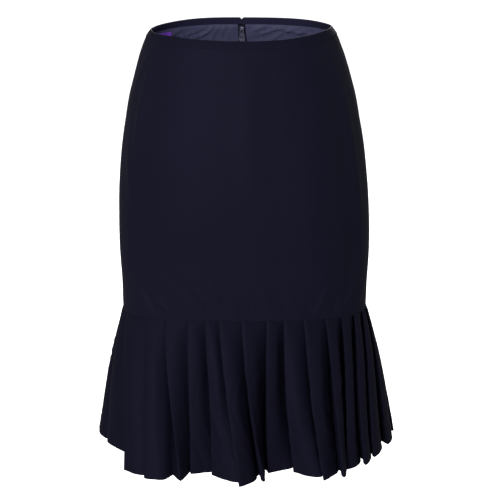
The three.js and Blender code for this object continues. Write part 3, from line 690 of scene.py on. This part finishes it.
def flounce(first, count, levels, thickness):
    """One strip of the flounce: the plan path at each level, given a height, half the thickness to each side, a
    hem that is thicker where it is turned up, soft waves, and streaks down the pleats that fade at the seam. They
    don't fade at the strip's two ends, so where two strips meet their ends can stand up to a millimetre apart."""
    v = levels[:, None]
    control = pleat_path(first, count, v)
    spans = [4] + [2, 2, 7, 6, 4, 2, 2, 5] * count
    spans = spans[:control.shape[1] - 1]
    path = curve_through(control, spans)
    step = np.gradient(path, axis=1)
    step = step / np.linalg.norm(step, axis=-1, keepdims=True)
    normal = np.stack([step[..., 1], -step[..., 0]], -1)
    along = np.concatenate(
        [np.zeros((len(levels), 1)), np.cumsum(np.linalg.norm(np.diff(path, axis=1), axis=-1), 1)], 1
    )
    middle = flounce_size(0.5)
    depth = np.where(path[..., 1] < 0, middle[1], middle[2])
    angle = np.degrees(np.arctan2(path[..., 0] / middle[0], -path[..., 1] / depth))
    top = body_point(angle, BODY_LENGTH)[..., 2] - SEAM_GAP
    hem = HEM_FRONT + HEM_SIDE_LIFT * np.sin(np.radians(angle)) ** 2
    z = mix(top, hem, v)
    drop = (top - hem) * v
    to_hem = (top - hem) * (1 - v)
    turned = 0.38 * ease(-to_hem, -HEM_TURN - 0.8, -HEM_TURN + 0.8)
    soft = 0.35 * waver(along / 17, 0.3) * waver(drop / 38 + along / 60, 1.1) * ease(v, 0.05, 0.4)
    streak_length = 0.45 + 0.55 * waver(drop / 55 + along / 70, 0.2)
    streak = 1.3 * waver(along / 6.5 + 0.5 * np.sin(drop / 41), 2.6) * streak_length
    hem_row = 0.3 * waver(along / 2.6, 0.8) * np.exp(-((to_hem - HEM_TURN) / 2.2) ** 2)
    soft = soft + streak * ease(v, 0.1, 0.45) * (1 - 0.35 * ease(v, 0.8, 1.0)) + hem_row
    close = np.minimum(drop, to_hem)
    ends = np.minimum(along, along[:, -1:] - along)
    half = (0.5 * thickness + turned) * rounded(np.minimum(close, ends), 0.7)

    def side(sign):
        """The strip's outer or inner face, at half the thickness from its middle."""
        plan = path + normal * (soft + sign * half)[..., None]
        return np.concatenate([plan, z[..., None]], -1)

    return wall(side(1), side(-1), along.mean(0)[None, :], drop)


def beads(centres, along, out, length, width, height, rings=5, sides=6):
    """Many small rounded bars: one bar's rings are a half circle's profile along its length, set at every centre
    in the frame of its two directions."""
    across = np.cross(out, along)
    t = np.linspace(0, np.pi, rings + 2)
    a = np.linspace(0, 2 * np.pi, sides, endpoint=False)
    x = -np.cos(t)[:, None] * length / 2 * np.ones(sides)
    swell = np.sqrt(np.sin(t))[:, None]
    y = swell * np.cos(a) * width / 2
    z = swell * np.sin(a) * height / 2
    local = np.stack([x, y, z], -1).reshape(-1, 3)
    points = (
        centres[:, None, :]
        + local[None, :, 0:1] * along[:, None, :]
        + local[None, :, 1:2] * across[:, None, :]
        + local[None, :, 2:3] * out[:, None, :]
    )
    ring, side = np.meshgrid(np.arange(rings + 1), np.arange(sides), indexing="ij")
    a0 = (ring * sides + side).ravel()
    a1 = (ring * sides + (side + 1) % sides).ravel()
    quads = np.stack([a0, a1, a1 + sides, a0 + sides], 1)[:, ::-1]
    starts = np.arange(len(centres))[:, None, None] * len(local)
    faces = (quads[None] + starts).reshape(-1, 4)
    return points.reshape(-1, 3), faces, np.tile(local[:, :2], (len(centres), 1))


def stitch_row(angle, h, out, pitch, length, width):
    """Stitches in a row along a line on the body, evenly spaced by its true length."""
    points = on_body(angle, h, out)
    travelled = np.concatenate([[0], np.cumsum(np.linalg.norm(np.diff(points, axis=0), axis=1))])
    stops = np.arange(pitch / 2, travelled[-1], pitch)
    angles = np.interp(stops, travelled, angle)
    heights = np.interp(stops, travelled, h)
    depths = np.interp(stops, travelled, out)
    centres = on_body(angles, heights, depths)
    ahead = np.stack([np.interp(stops + 0.2, travelled, points[:, k]) for k in range(3)], -1)
    behind = np.stack([np.interp(stops - 0.2, travelled, points[:, k]) for k in range(3)], -1)
    along = ahead - behind
    along = along / np.linalg.norm(along, axis=1, keepdims=True)
    normal = body_normal(angles, heights)
    normal = normal - along * (normal * along).sum(1, keepdims=True)
    normal = normal / np.linalg.norm(normal, axis=1, keepdims=True)
    return beads(centres, along, normal, length, width, width * 0.8)


class Nodes:
    """A material's node tree with short calls for its few kinds of node."""

    def __init__(self, name):
        self.material = bpy.data.materials.new(name)
        self.material.use_nodes = True
        self.tree = self.material.node_tree
        self.shader = self.tree.nodes["Principled BSDF"]

    def add(self, kind, values=None, **settings):
        node = self.tree.nodes.new(kind)
        for key, value in settings.items():
            setattr(node, key, value)
        for key, value in (values or {}).items():
            node.inputs[key].default_value = value
        return node

    def join(self, output, target):
        self.tree.links.new(output, target)

    def grain(self, scale=(1, 1, 1), turn=0.0):
        """The cloth's own coordinates in metres, scaled and turned."""
        source = self.add("ShaderNodeUVMap", uv_map="grain")
        mapping = self.add("ShaderNodeMapping", {"Scale": scale, "Rotation": (0, 0, turn)})
        self.join(source.outputs["UV"], mapping.inputs["Vector"])
        return mapping.outputs["Vector"]

    def place(self, scale=(1, 1, 1)):
        """Object coordinates, scaled."""
        source = self.add("ShaderNodeTexCoord")
        mapping = self.add("ShaderNodeMapping", {"Scale": scale})
        self.join(source.outputs["Object"], mapping.inputs["Vector"])
        return mapping.outputs["Vector"]

    def noise(self, vector, scale, detail=2.0, roughness=0.5):
        node = self.add("ShaderNodeTexNoise", {"Scale": scale, "Detail": detail, "Roughness": roughness})
        self.join(vector, node.inputs["Vector"])
        return node.outputs["Fac"]

    def bands(self, vector, period, direction="X", distortion=0.0):
        """Straight ribs of one period in metres."""
        scale = 2 * math.pi / (20 * period)
        node = self.add(
            "ShaderNodeTexWave",
            {"Scale": scale, "Distortion": distortion, "Detail": 1.0, "Detail Scale": 0.2},
            bands_direction=direction,
        )
        self.join(vector, node.inputs["Vector"])
        return node.outputs["Fac"]

    def math(self, operation, a, b):
        node = self.add("ShaderNodeMath", operation=operation)
        for socket, value in zip(node.inputs, (a, b)):
            if isinstance(value, (int, float)):
                socket.default_value = value
            else:
                self.join(value, socket)
        return node.outputs[0]

    def between(self, factor, low, high):
        """A number or colour between two, by a factor."""
        node = self.add("ShaderNodeMapRange", {"To Min": low, "To Max": high})
        self.join(factor, node.inputs["Value"])
        return node.outputs["Result"]

    def blend(self, factor, low, high):
        node = self.add("ShaderNodeMix", data_type="RGBA")
        self.join(factor, node.inputs[0])
        for socket, value in ((node.inputs[6], low), (node.inputs[7], high)):
            if isinstance(value, (tuple, list)):
                socket.default_value = (*value[:3], 1)
            else:
                self.join(value, socket)
        return node.outputs[2]

    def relief(self, height, strength, distance, below=None):
        """A bump, on top of another where one is given."""
        node = self.add("ShaderNodeBump", {"Strength": strength, "Distance": distance})
        self.join(height, node.inputs["Height"])
        if below is not None:
            self.join(below, node.inputs["Normal"])
        return node.outputs["Normal"]

    def finish(self, colour=None, roughness=None, normal=None, **fixed):
        """Links what varies over the surface and sets what is the same all over on the shader itself."""
        for key, value in fixed.items():
            self.shader.inputs[key.replace("_", " ")].default_value = value
        if colour is not None:
            self.join(colour, self.shader.inputs["Base Color"])
        if roughness is not None:
            self.join(roughness, self.shader.inputs["Roughness"])
        if normal is not None:
            self.join(normal, self.shader.inputs["Normal"])
        return self.material


def tone(colour, share):
    """A colour made lighter or darker by a factor."""
    return tuple(min(1.0, c * share) for c in colour[:3])


def cloth_material(name, colour, gloss):
    """Fine twill suiting: diagonal ribs on the grain, thread-to-thread variation and a slow cloudiness."""
    n = Nodes(name)
    across = n.grain()
    rib = n.bands(across, 0.00085, "DIAGONAL", 0.6)
    weft = n.noise(n.grain((420, 2600, 1)), 1.0, 2.0)
    warp = n.noise(n.grain((2600, 260, 1)), 1.0, 2.0)
    threads = n.math("MULTIPLY", n.math("ADD", weft, warp), 0.5)
    cloud = n.noise(n.place(), 9.0, 3.0)
    fine = n.noise(n.place(), 90.0, 3.0)
    tint = n.blend(cloud, tone(colour, 0.84), tone(colour, 1.16))
    speckle = n.blend(threads, tone(colour, 0.55), tone(colour, 1.55))
    mixed = n.add("ShaderNodeMix", data_type="RGBA")
    mixed.inputs[0].default_value = 0.5
    n.join(tint, mixed.inputs[6])
    n.join(speckle, mixed.inputs[7])
    body = n.math("ADD", n.math("MULTIPLY", rib, 0.5), n.math("MULTIPLY", threads, 0.8))
    soft = n.relief(fine, 0.25, 0.0008)
    weave = n.relief(body, 0.35, 0.00025, soft)
    return n.finish(
        mixed.outputs[2], n.between(threads, 0.5, 0.7), weave,
        Specular_IOR_Level=gloss, Sheen_Weight=0.004, Sheen_Roughness=0.45, Sheen_Tint=(0.55, 0.6, 0.95, 1),
        Specular_Tint=(0.6, 0.6, 1.0, 1),
    )


def lining_material(name, colour, gloss):
    """Smooth taffeta lining: close ribs, long streaks down the warp and a soft lustre."""
    n = Nodes(name)
    streak = n.noise(n.grain((900, 30, 1)), 1.0, 3.0)
    rib = n.bands(n.grain(), 0.00045, "Y", 0.3)
    crumple = n.noise(n.grain((60, 34, 1)), 1.0, 4.0, 0.6)
    tint = n.blend(streak, tone(colour, 0.82), tone(colour, 1.2))
    soft = n.relief(crumple, 0.5, 0.0022)
    weave = n.relief(rib, 0.12, 0.0001, soft)
    return n.finish(
        tint, n.between(streak, 0.5, 0.68), weave,
        Specular_IOR_Level=gloss, Sheen_Weight=0.08, Sheen_Roughness=0.35, Sheen_Tint=(0.85, 0.85, 1, 1),
    )


def ribbon_material(name, colour):
    """Satin ribbon: fine ribs across and a denser selvedge, under a bright lustre."""
    n = Nodes(name)
    rib = n.bands(n.grain(), 0.0006, "Y", 0.2)
    streak = n.noise(n.grain((800, 60, 1)), 1.0, 2.0)
    tint = n.blend(streak, tone(colour, 0.8), tone(colour, 1.25))
    weave = n.relief(rib, 0.25, 0.00015)
    return n.finish(tint, n.between(streak, 0.3, 0.44), weave, Specular_IOR_Level=0.5, Sheen_Weight=0.1)


def tape_material(name, colour):
    """Woven zip tape: close ribs along it and a herringbone of threads."""
    n = Nodes(name)
    rib = n.bands(n.grain(), 0.0008, "X", 0.2)
    thread = n.bands(n.grain(), 0.0005, "DIAGONAL", 0.4)
    height = n.math("ADD", rib, n.math("MULTIPLY", thread, 0.5))
    tint = n.blend(thread, tone(colour, 0.75), tone(colour, 1.3))
    return n.finish(tint, n.between(rib, 0.6, 0.8), n.relief(height, 0.4, 0.0002), Specular_IOR_Level=0.25)


def thread_material(name, colour):
    """Sewing thread: a two-ply twist that shows as slanting ribs."""
    n = Nodes(name)
    ply = n.bands(n.grain(), 0.0005, "DIAGONAL")
    tint = n.blend(ply, tone(colour, 0.7), tone(colour, 1.3))
    return n.finish(tint, n.between(ply, 0.5, 0.7), n.relief(ply, 0.4, 0.0001), Specular_IOR_Level=0.3)


def metal_material(name, colour, high, low):
    """Plated zinc with painted light: a painted highlight, bright at the slider's head and darker down the tab
    between two heights, faintly uneven, with fine scratches, and patches that are rougher, as wear, and lighter, as
    painted glints."""
    n = Nodes(name)
    scratch = n.noise(n.place((900, 900, 4000)), 1.0, 3.0)
    patch = n.noise(n.place((1, 1, 0.5)), 420.0, 3.0, 0.6)
    split = n.add("ShaderNodeSeparateXYZ")
    n.join(n.place(), split.inputs[0])
    down = n.add("ShaderNodeMapRange", {"From Min": high, "From Max": low})
    n.join(split.outputs["Z"], down.inputs["Value"])
    # Painted highlight: the colour is lighter at the slider's head and darker down the tab.
    painted_highlight = n.blend(down.outputs["Result"], tone(colour, 2.6), tone(colour, 0.75))
    wear_and_glint = n.add("ShaderNodeMapRange", {"From Min": 0.4, "From Max": 0.62})
    n.join(patch, wear_and_glint.inputs["Value"])
    # Lighter patches are painted glints; the same patches are rougher below, as wear.
    tint = n.blend(wear_and_glint.outputs["Result"], painted_highlight, tone(colour, 1.7))
    rough = n.between(n.math("MULTIPLY", n.math("ADD", scratch, patch), 0.5), 0.16, 0.4)
    return n.finish(tint, rough, n.relief(scratch, 0.1, 0.0001), Metallic=1.0)


def floor_material(name, colour, glow):
    """Matt pale paper with a faint mottle, lit evenly from below as a studio's light table is."""
    n = Nodes(name)
    mottle = n.noise(n.place(), 3.0, 4.0)
    tint = n.blend(mottle, tone(colour, 0.98), tone(colour, 1.01))
    return n.finish(
        tint, n.between(mottle, 0.85, 0.95), None,
        Specular_IOR_Level=0.1, Emission_Color=(1, 1, 1, 1), Emission_Strength=glow,
    )


def colour_setting(name, description, default):
    """A colour that a user can change."""
    return bpy.props.FloatVectorProperty(
        name=name, description=description, default=default, size=3, min=0, max=1, subtype="COLOR"
    )


def length_setting(name, description, default, low, high):
    """A length in metres that a user can change."""
    return bpy.props.FloatProperty(
        name=name, description=description, default=default, min=low, max=high, unit="LENGTH", precision=5
    )


class SkirtSizes(bpy.types.PropertyGroup):
    """Sizes and strengths of the cloth."""

    cloth_thickness: length_setting("Cloth", "Thickness of the body's cloth", 0.0011, 0.0004, 0.0012)
    pleat_thickness: length_setting("Pleats", "Thickness of the pleated cloth", 0.0009, 0.0004, 0.0010)
    lining_thickness: length_setting("Lining", "Thickness of the lining", 0.0004, 0.0002, 0.0009)
    column_step: length_setting("Grid step", "Distance between the body's grid lines", 0.0025, 0.0015, 0.008)
    crease_strength: bpy.props.FloatProperty(
        name="Creases", description="How strongly the cloth creases", default=1.0, min=0, max=1.5, subtype="FACTOR"
    )
    pleat_levels: bpy.props.IntProperty(
        name="Pleat levels", description="Grid lines down the flounce", default=56, min=12, max=80
    )


class SkirtFinish(bpy.types.PropertyGroup):
    """Colours of the materials and strength of the light."""

    cloth: colour_setting("Cloth", "Colour of the suiting", (0.0071, 0.0068, 0.0155))
    lining: colour_setting("Lining", "Colour of the lining", (0.069, 0.069, 0.142))
    ribbon: colour_setting("Ribbon", "Colour of the label's ribbon", (0.32, 0.08, 1.0))
    tape: colour_setting("Zip tape", "Colour of the zip's tape", (0.008, 0.008, 0.016))
    metal: colour_setting("Metal", "Colour of the zip's metal", (0.30, 0.30, 0.40))
    floor: colour_setting("Floor", "Colour of the floor", (0.9, 0.9, 0.9))
    key_power: bpy.props.FloatProperty(
        name="Key light", description="Power of the main softbox in watts", default=50, min=0, max=400
    )


def settings(context):
    """The skirt's sizes and its finish."""
    return context.scene.skirt_sizes, context.scene.skirt_finish


def cloth_of(context, name="navy_suiting", share=1.0):
    """The suiting, made once under each name: lighter copies of the same cloth are painted light, darker copies
    painted shade.
    """
    return bpy.data.materials.get(name) or cloth_material(name, tone(context.scene.skirt_finish.cloth, share), 0.04)


def thread_of(context):
    """The sewing thread, made once: the suiting's colour, a little lighter."""
    return bpy.data.materials.get("navy_thread") or thread_material(
        "navy_thread", tone(context.scene.skirt_finish.cloth, 1.6)
    )


class SKIRT_OT_body(bpy.types.Operator):
    """Make the front panel and the two back panels"""

    bl_idname = "skirt.body"
    bl_label = "Body panels"

    def execute(self, context):
        sizes = context.scene.skirt_sizes
        material = cloth_of(context)
        thickness = sizes.cloth_thickness / MM
        step = sizes.column_step / MM
        plans = (
            ("front_panel", "skirt_front", -90, 90, 0.3, (0.50, 0.43)),
            ("back_panel_right", "skirt_back_right", 90, 180, 1.1, (0.27, 0.43)),
            ("back_panel_left", "skirt_back_left", 180, 270, 2.6, (0.27, 0.43)),
        )
        for name, node, start, end, phase, flat in plans:
            def relief(angle, h, from_side):
                """The body's relief and the side seams' puckers."""
                return body_relief(angle, h, sizes.crease_strength) + side_pucker(from_side, h, phase)

            part = panel(start, end, BAND_HEIGHT - TUCK, BODY_LENGTH + FOOT_TUCK, 0.0, thickness, step, relief)
            piece = make_mesh(name, [part], material, "cloth", node)
        return {"FINISHED"}


class SKIRT_OT_waistband(bpy.types.Operator):
    """Make the waistband's three lengths, rounded at the top fold and notched above the zip"""

    bl_idname = "skirt.waistband"
    bl_label = "Waistband"

    def execute(self, context):
        material = cloth_of(context)
        # The band's inner side: the suiting made lighter, as painted light where it faces the lamps.
        facing = cloth_of(context, "band_facing_painted_light", BAND_PAINTED_LIGHT_SHARE)
        plans = (
            ("waistband", "waistband_front", -90, 90, (0.37, 0.0125)),
            ("waistband_right", "waistband_back_right", 90, 180, (0.19, 0.0125)),
            ("waistband_left", "waistband_back_left", 180, 270, (0.19, 0.0125)),
        )
        for name, node, start, end, flat in plans:
            piece = make_mesh(name, [self.band(start, end)], material, "cloth", node, facing=facing)
        return {"FINISHED"}

    @staticmethod
    def band(start, end):
        """A length of band: both faces at half the thickness from its middle, closed by a round fold at the top,
        with the face a little swollen and pulled in at the seam."""
        around = abs(end - start) * float(np.linalg.norm(oval_step(body_size(6.0), 0.5 * (start + end))))
        across = spaced(around, 1.6, 0.8)
        near_back = np.array([0.002, 0.004, 0.007, 0.010, 0.013, 0.016])
        across = np.unique(np.concatenate([across, near_back, 1 - near_back]))[None, :]
        down = spaced(BAND_HEIGHT, 1.1, 1.0)[:, None]
        plain = np.full((len(down), 1), -SEAM_LAP)
        low, high = seam_edges(start, end, np.full((len(down), 1), 6.0), plain, plain)
        angle = mix(low, high, across)
        notch = NOTCH_DEPTH * np.maximum(0, 1 - np.abs(angle - 180) / NOTCH_HALF) ** 2
        h = mix(notch, BAND_HEIGHT, down)
        scale = np.linalg.norm(oval_step(body_size(h), angle), axis=-1)
        from_end = np.minimum(angle - low, high - angle) * scale
        from_top = h - notch
        from_foot = BAND_HEIGHT - h
        half = 0.5 * BAND_THICKNESS * rounded(from_top, 1.0) * rounded(from_end, 0.35) * rounded(from_foot, 0.6)
        swell = 0.12 * np.sin(np.pi * np.clip(from_top / BAND_HEIGHT, 0, 1))
        ripple = 0.10 * waver(angle * 0.9, 1.9) * np.exp(-from_foot / 3)
        lift = BAND_PROUD + ripple
        normal = body_normal(angle, h)
        centre = body_point(angle, h)
        outer = centre + normal * (lift + half + swell)[..., None]
        inner = centre + normal * (lift - half)[..., None]
        return wall(outer, inner, angle * scale.mean(), h)


class SKIRT_OT_flounce(bpy.types.Operator):
    """Make the two strips of knife pleats"""

    bl_idname = "skirt.flounce"
    bl_label = "Pleated flounce"

    def execute(self, context):
        sizes = context.scene.skirt_sizes
        # The pleats' cloth: the suiting made darker, as painted shade.
        material = cloth_of(context, "pleats_painted_shade", PLEAT_PAINTED_SHADE_SHARE)
        near = np.array([0, 0.04, 0.16, 0.4, 0.7, 1.2]) / FLOUNCE_DROP
        middle = np.linspace(near[-1], 1 - near[-1], sizes.pleat_levels)[1:-1]
        hem_line = 1 - np.array([HEM_TURN + 1.2, HEM_TURN + 0.5, HEM_TURN - 0.5, HEM_TURN - 1.2]) / FLOUNCE_DROP
        levels = np.sort(np.concatenate([near, middle, hem_line, 1 - near]))
        plans = (
            ("flounce_strip_front", "flounce_front", 0, 15, (1.12, 0.236), ["front_panel"]),
            ("flounce_strip_back", "flounce_back", 15, 18, (1.38, 0.236), ["back_panel_right", "back_panel_left"]),
        )
        for name, node, first, count, flat, carriers in plans:
            part = flounce(first, count, levels, sizes.pleat_thickness / MM)
            piece = make_mesh(name, [part], material, "cloth", node)
        return {"FINISHED"}


class SKIRT_OT_lining(bpy.types.Operator):
    """Make the lining's three panels, wrinkled beside the zip"""

    bl_idname = "skirt.lining"
    bl_label = "Lining"

    def execute(self, context):
        sizes, finish = settings(context)
        material = lining_material("lilac_lining", finish.lining, 0.18)
        plans = (
            ("lining_panel_front", "lining_front", -90, 90, 3.4, None, None, (0.49, 0.39)),
            ("lining_panel_right", "lining_back_right", 90, 180, 2.6, None, lining_gap, (0.26, 0.39)),
            ("lining_panel_left", "lining_back_left", 180, 270, 2.6, lining_gap, None, (0.26, 0.39)),
        )

        def relief(angle, h, from_side):
            """The body's relief, less wrinkles and ripples that stand in towards the wearer, and fade at the band,
            at the edges and under the label."""
            wrinkle = creases(LINING_CREASES, angle, h)
            fine = 0.5 * (1 + waver(angle * 0.55 + 0.8 * np.sin(h / 7), 0.7)) * np.exp(-(h - BAND_HEIGHT) / 60)
            label = np.exp(-(((angle - 241) / 15) ** 4) - ((h - 24) / 20) ** 4)
            clear = (1 - label) * ease(from_side, 0, 3) * ease(h, BAND_HEIGHT, BAND_HEIGHT + 4)
            inward = clear * (WRINKLE * wrinkle + RIPPLE * fine)
            return body_relief(angle, h, sizes.crease_strength) - sizes.crease_strength * inward

        for name, node, start, end, step, start_gap, end_gap, flat in plans:
            part = panel(
                start, end, BAND_HEIGHT - TUCK, LINING_END, -LINING_INSET, sizes.lining_thickness / MM, step,
                relief, start_gap, end_gap, 0.4,
            )
            piece = make_mesh(name, [part], material, "lining", node)
        return {"FINISHED"}


class SKIRT_OT_zip(bpy.types.Operator):
    """Make the zip's tapes and teeth, and finish its slider and pull tab"""

    bl_idname = "skirt.zip"
    bl_label = "Zip"

    def execute(self, context):
        finish = context.scene.skirt_finish
        material = tape_material("woven_tape", finish.tape)
        plans = (("zip_tape_strip_right", "zip_tape_right", -1), ("zip_tape_strip_left", "zip_tape_left", 1))
        for name, node, side in plans:
            piece = make_mesh(name, [self.tape(side)], material, "tape", node)
        pitch, length, width, height = TOOTH
        h = np.arange(SLIDER_FOOT + 1.0, ZIP_LENGTH - 3, pitch)
        angle = np.full_like(h, 180.0)
        normal = body_normal(angle, h)
        across = np.broadcast_to(np.array([1.0, 0.0, 0.0]), normal.shape)
        centres = on_body(angle, h, np.full_like(h, -(LINING_INSET + 0.55)))
        teeth = beads(centres, across, normal, length, width, height, 6, 8)
        make_mesh("zip_teeth", [teeth], thread_material("coil", tone(finish.tape, 2.2)), "tape", weld=True)
        # The slider and the tab take a metal with a painted highlight and painted glints.
        metal = metal_material("plated_metal", finish.metal, -0.015, -0.023)
        for node in ("zip_slider", "zip_pull"):
            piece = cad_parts[node]
            for slot in piece.material_slots:
                slot.material = metal
        return {"FINISHED"}

    @staticmethod
    def tape(side):
        """Half of the zip's tape, from beside the centre back out to the lining, with a raised stitched cord."""
        top, foot = BAND_HEIGHT + SEAM_GAP, ZIP_LENGTH
        h = mix(top, foot, spaced(foot - top, 2.0, 0.5))[:, None]
        near, far = SEAM_GAP / 2, ZIP_TAPE_WIDTH + SEAM_GAP / 2
        run = mix(near, far, spaced(far - near, 0.5, 0.4))[None, :]
        if side < 0:
            run = run[:, ::-1]
        size = body_size(h)
        angle = 180 + side * degrees_for(size, np.full_like(h, 180.0), run)
        h = np.broadcast_to(h, angle.shape)
        edge = np.minimum(np.minimum(run - near, far - run), np.minimum(h - top, foot - h))
        half = 0.35 * rounded(edge, 0.4)
        lift = -LINING_INSET - 0.12 * np.exp(-(((run - 3.6) / 0.5) ** 2))
        normal = body_normal(angle, h)
        centre = body_point(angle, h)
        outer = centre + normal * (lift + half)[..., None]
        inner = centre + normal * (lift - half)[..., None]
        return wall(outer, inner, side * run, h)


class SKIRT_OT_label(bpy.types.Operator):
    """Make the plain ribbon label inside the back"""

    bl_idname = "skirt.label"
    bl_label = "Ribbon label"

    def execute(self, context):
        finish = context.scene.skirt_finish
        h = mix(LABEL_TOP, LABEL_TOP + LABEL_HEIGHT, spaced(LABEL_HEIGHT, 0.8, 0.35))[:, None]
        plain = np.full_like(h, SEAM_GAP / 2)
        low, high = seam_edges(180, 270, h, lining_gap(h), plain)
        begin, end = mix(low, high, LABEL_SHARES[0]), mix(low, high, LABEL_SHARES[1])
        across = spaced(58.0, 0.8, 0.35)[None, :]
        angle = mix(begin, end, across)
        h = np.broadcast_to(h, angle.shape)
        scale = np.linalg.norm(oval_step(body_size(h), angle), axis=-1)
        edge_side = np.minimum(angle - begin, end - angle) * scale
        edge = np.minimum(edge_side, np.minimum(h - LABEL_TOP, LABEL_TOP + LABEL_HEIGHT - h))
        placed = h + mix(*LABEL_TILT, across)
        half = 0.3 * rounded(edge, 0.35)
        offset = -(LINING_INSET + LINING_WALL / 2 + LABEL_GAP + 0.5)
        curl = 0.9 * ease(h, LABEL_TOP + 6, LABEL_TOP + LABEL_HEIGHT) * (1 + 0.4 * np.sin(angle / 3.5))
        selvedge = 0.08 * np.exp(-((np.minimum(h - LABEL_TOP, LABEL_TOP + LABEL_HEIGHT - h) - 1.2) / 0.6) ** 2)
        lift = offset - curl * 0.6
        normal = body_normal(angle, placed)
        centre = body_point(angle, placed)
        outer = centre + normal * (lift + half + selvedge)[..., None]
        inner = centre + normal * (lift - half - selvedge)[..., None]
        part = wall(outer, inner, angle * scale.mean(), h)
        piece = make_mesh("ribbon_label", [part], ribbon_material("violet_satin", finish.ribbon), "ribbon", "label")
        return {"FINISHED"}


class SKIRT_OT_stitching(bpy.types.Operator):
    """Sew the rows of stitches that hold the zip tapes and the lining's hem"""

    bl_idname = "skirt.stitching"
    bl_label = "Stitching"

    def execute(self, context):
        thread = thread_of(context)
        h = np.linspace(BAND_HEIGHT + 2, ZIP_LENGTH - 2, 120)
        rows = []
        for side in (-1, 1):
            angle = 180 + side * degrees_for(body_size(h), np.full_like(h, 180.0), 4.3)
            rows.append(stitch_row(angle, h, np.full_like(h, -LINING_INSET - 0.38), *ZIP_STITCH))
        make_mesh("zip_stitches", rows, thread, "tape", weld=True)
        angle = np.linspace(0, 359.5, 720)
        h = np.full_like(angle, LINING_END - LINING_HEM)
        wall_side = body_relief(angle, h, context.scene.skirt_sizes.crease_strength)
        row = stitch_row(angle, h, wall_side - LINING_INSET - 0.26, *HEM_STITCH)
        make_mesh("lining_hem_stitches", [row], thread, "lining", weld=True)
        return {"FINISHED"}


class SKIRT_OT_stage(bpy.types.Operator):
    """Set the pale floor, the soft lights and the camera"""

    bl_idname = "skirt.stage"
    bl_label = "Stage"

    def execute(self, context):
        finish = context.scene.skirt_finish
        self.floor(finish)
        for name, place, width, share in LIGHTS:
            self.light(name, place, width, finish.key_power * share)
        self.camera(context)
        world = bpy.data.worlds.new("studio")
        world.use_nodes = True
        world.node_tree.nodes["Background"].inputs["Color"].default_value = (1, 1, 1, 1)
        world.node_tree.nodes["Background"].inputs["Strength"].default_value = ROOM_LIGHT
        context.scene.world = world
        context.scene.view_settings.view_transform = "Standard"
        return {"FINISHED"}

    @staticmethod
    def floor(finish):
        """A round floor under the skirt, at the height where its wearer would stand: rings of points round the
        origin. It throws no light on the skirt, so that the lamps alone shape the cloth."""
        ring = np.linspace(0.02, FLOOR_RADIUS, 24)[:, None]
        turn = np.linspace(0, 2 * np.pi, 73)[None, :]
        points = np.stack(
            [ring * np.cos(turn), ring * np.sin(turn), np.full((24, 73), FLOOR_LEVEL)], -1
        ).reshape(-1, 3)
        mesh = bpy.data.meshes.new("floor")
        mesh.from_pydata(points.tolist(), [], grid_faces(24, 73).tolist())
        mesh.validate()
        mesh.materials.append(floor_material("pale_paper", finish.floor, FLOOR_GLOW))
        floor = bpy.data.objects.new("floor", mesh)
        bpy.context.scene.collection.objects.link(floor)
        floor.visible_diffuse = False
        floor.visible_glossy = False

    @staticmethod
    def light(name, place, size, power):
        """A square softbox that faces the skirt's middle."""
        lamp = bpy.data.lights.new(name, "AREA")
        lamp.size = size
        lamp.energy = power
        holder = bpy.data.objects.new(name, lamp)
        holder.location = place
        aim_at(holder, LIGHTS_AIM)
        bpy.context.scene.collection.objects.link(holder)

    @staticmethod
    def camera(context):
        """A long lens from a little above the waist, looking slightly down."""
        lens = bpy.data.cameras.new("camera")
        lens.lens = CAMERA_LENS
        lens.sensor_width = 36
        lens.clip_end = 60
        camera = bpy.data.objects.new("camera", lens)
        camera.location = CAMERA_PLACE
        aim_at(camera, CAMERA_AIM)
        context.scene.collection.objects.link(camera)
        context.scene.camera = camera


def aim_at(holder, target):
    """Turns an object so that its -Z axis points at the target with its Y axis up."""
    way = np.array(target, float) - np.array(holder.location, float)
    flat = math.hypot(way[0], way[1])
    holder.rotation_euler = (math.pi / 2 + math.atan2(way[2], flat), 0, math.atan2(way[1], way[0]) - math.pi / 2)


STEPS = (
    SKIRT_OT_waistband,
    SKIRT_OT_body,
    SKIRT_OT_flounce,
    SKIRT_OT_lining,
    SKIRT_OT_zip,
    SKIRT_OT_label,
    SKIRT_OT_stitching,
    SKIRT_OT_stage,
)


class SKIRT_PT_panel(bpy.types.Panel):
    """Sizes, colours and steps of the skirt"""

    bl_idname = "SKIRT_PT_panel"
    bl_label = "Skirt"
    bl_space_type = "VIEW_3D"
    bl_region_type = "UI"
    bl_category = "Skirt"

    def draw(self, context):
        layout = self.layout
        for group in settings(context):
            box = layout.box()
            for name in group.__annotations__:
                box.prop(group, name)
        for step in STEPS:
            layout.operator(step.bl_idname)


CLASSES = (SkirtSizes, SkirtFinish, *STEPS, SKIRT_PT_panel)


def register():
    for cls in CLASSES:
        bpy.utils.register_class(cls)
    bpy.types.Scene.skirt_sizes = bpy.props.PointerProperty(type=SkirtSizes)
    bpy.types.Scene.skirt_finish = bpy.props.PointerProperty(type=SkirtFinish)


def unregister():
    del bpy.types.Scene.skirt_finish
    del bpy.types.Scene.skirt_sizes
    for cls in reversed(CLASSES):
        bpy.utils.unregister_class(cls)


def main():
    """Makes the skirt step by step."""
    register()
    for step in STEPS:
        group, name = step.bl_idname.split(".")
        getattr(getattr(bpy.ops, group), name)()


if __name__ == "__main__":
    main()
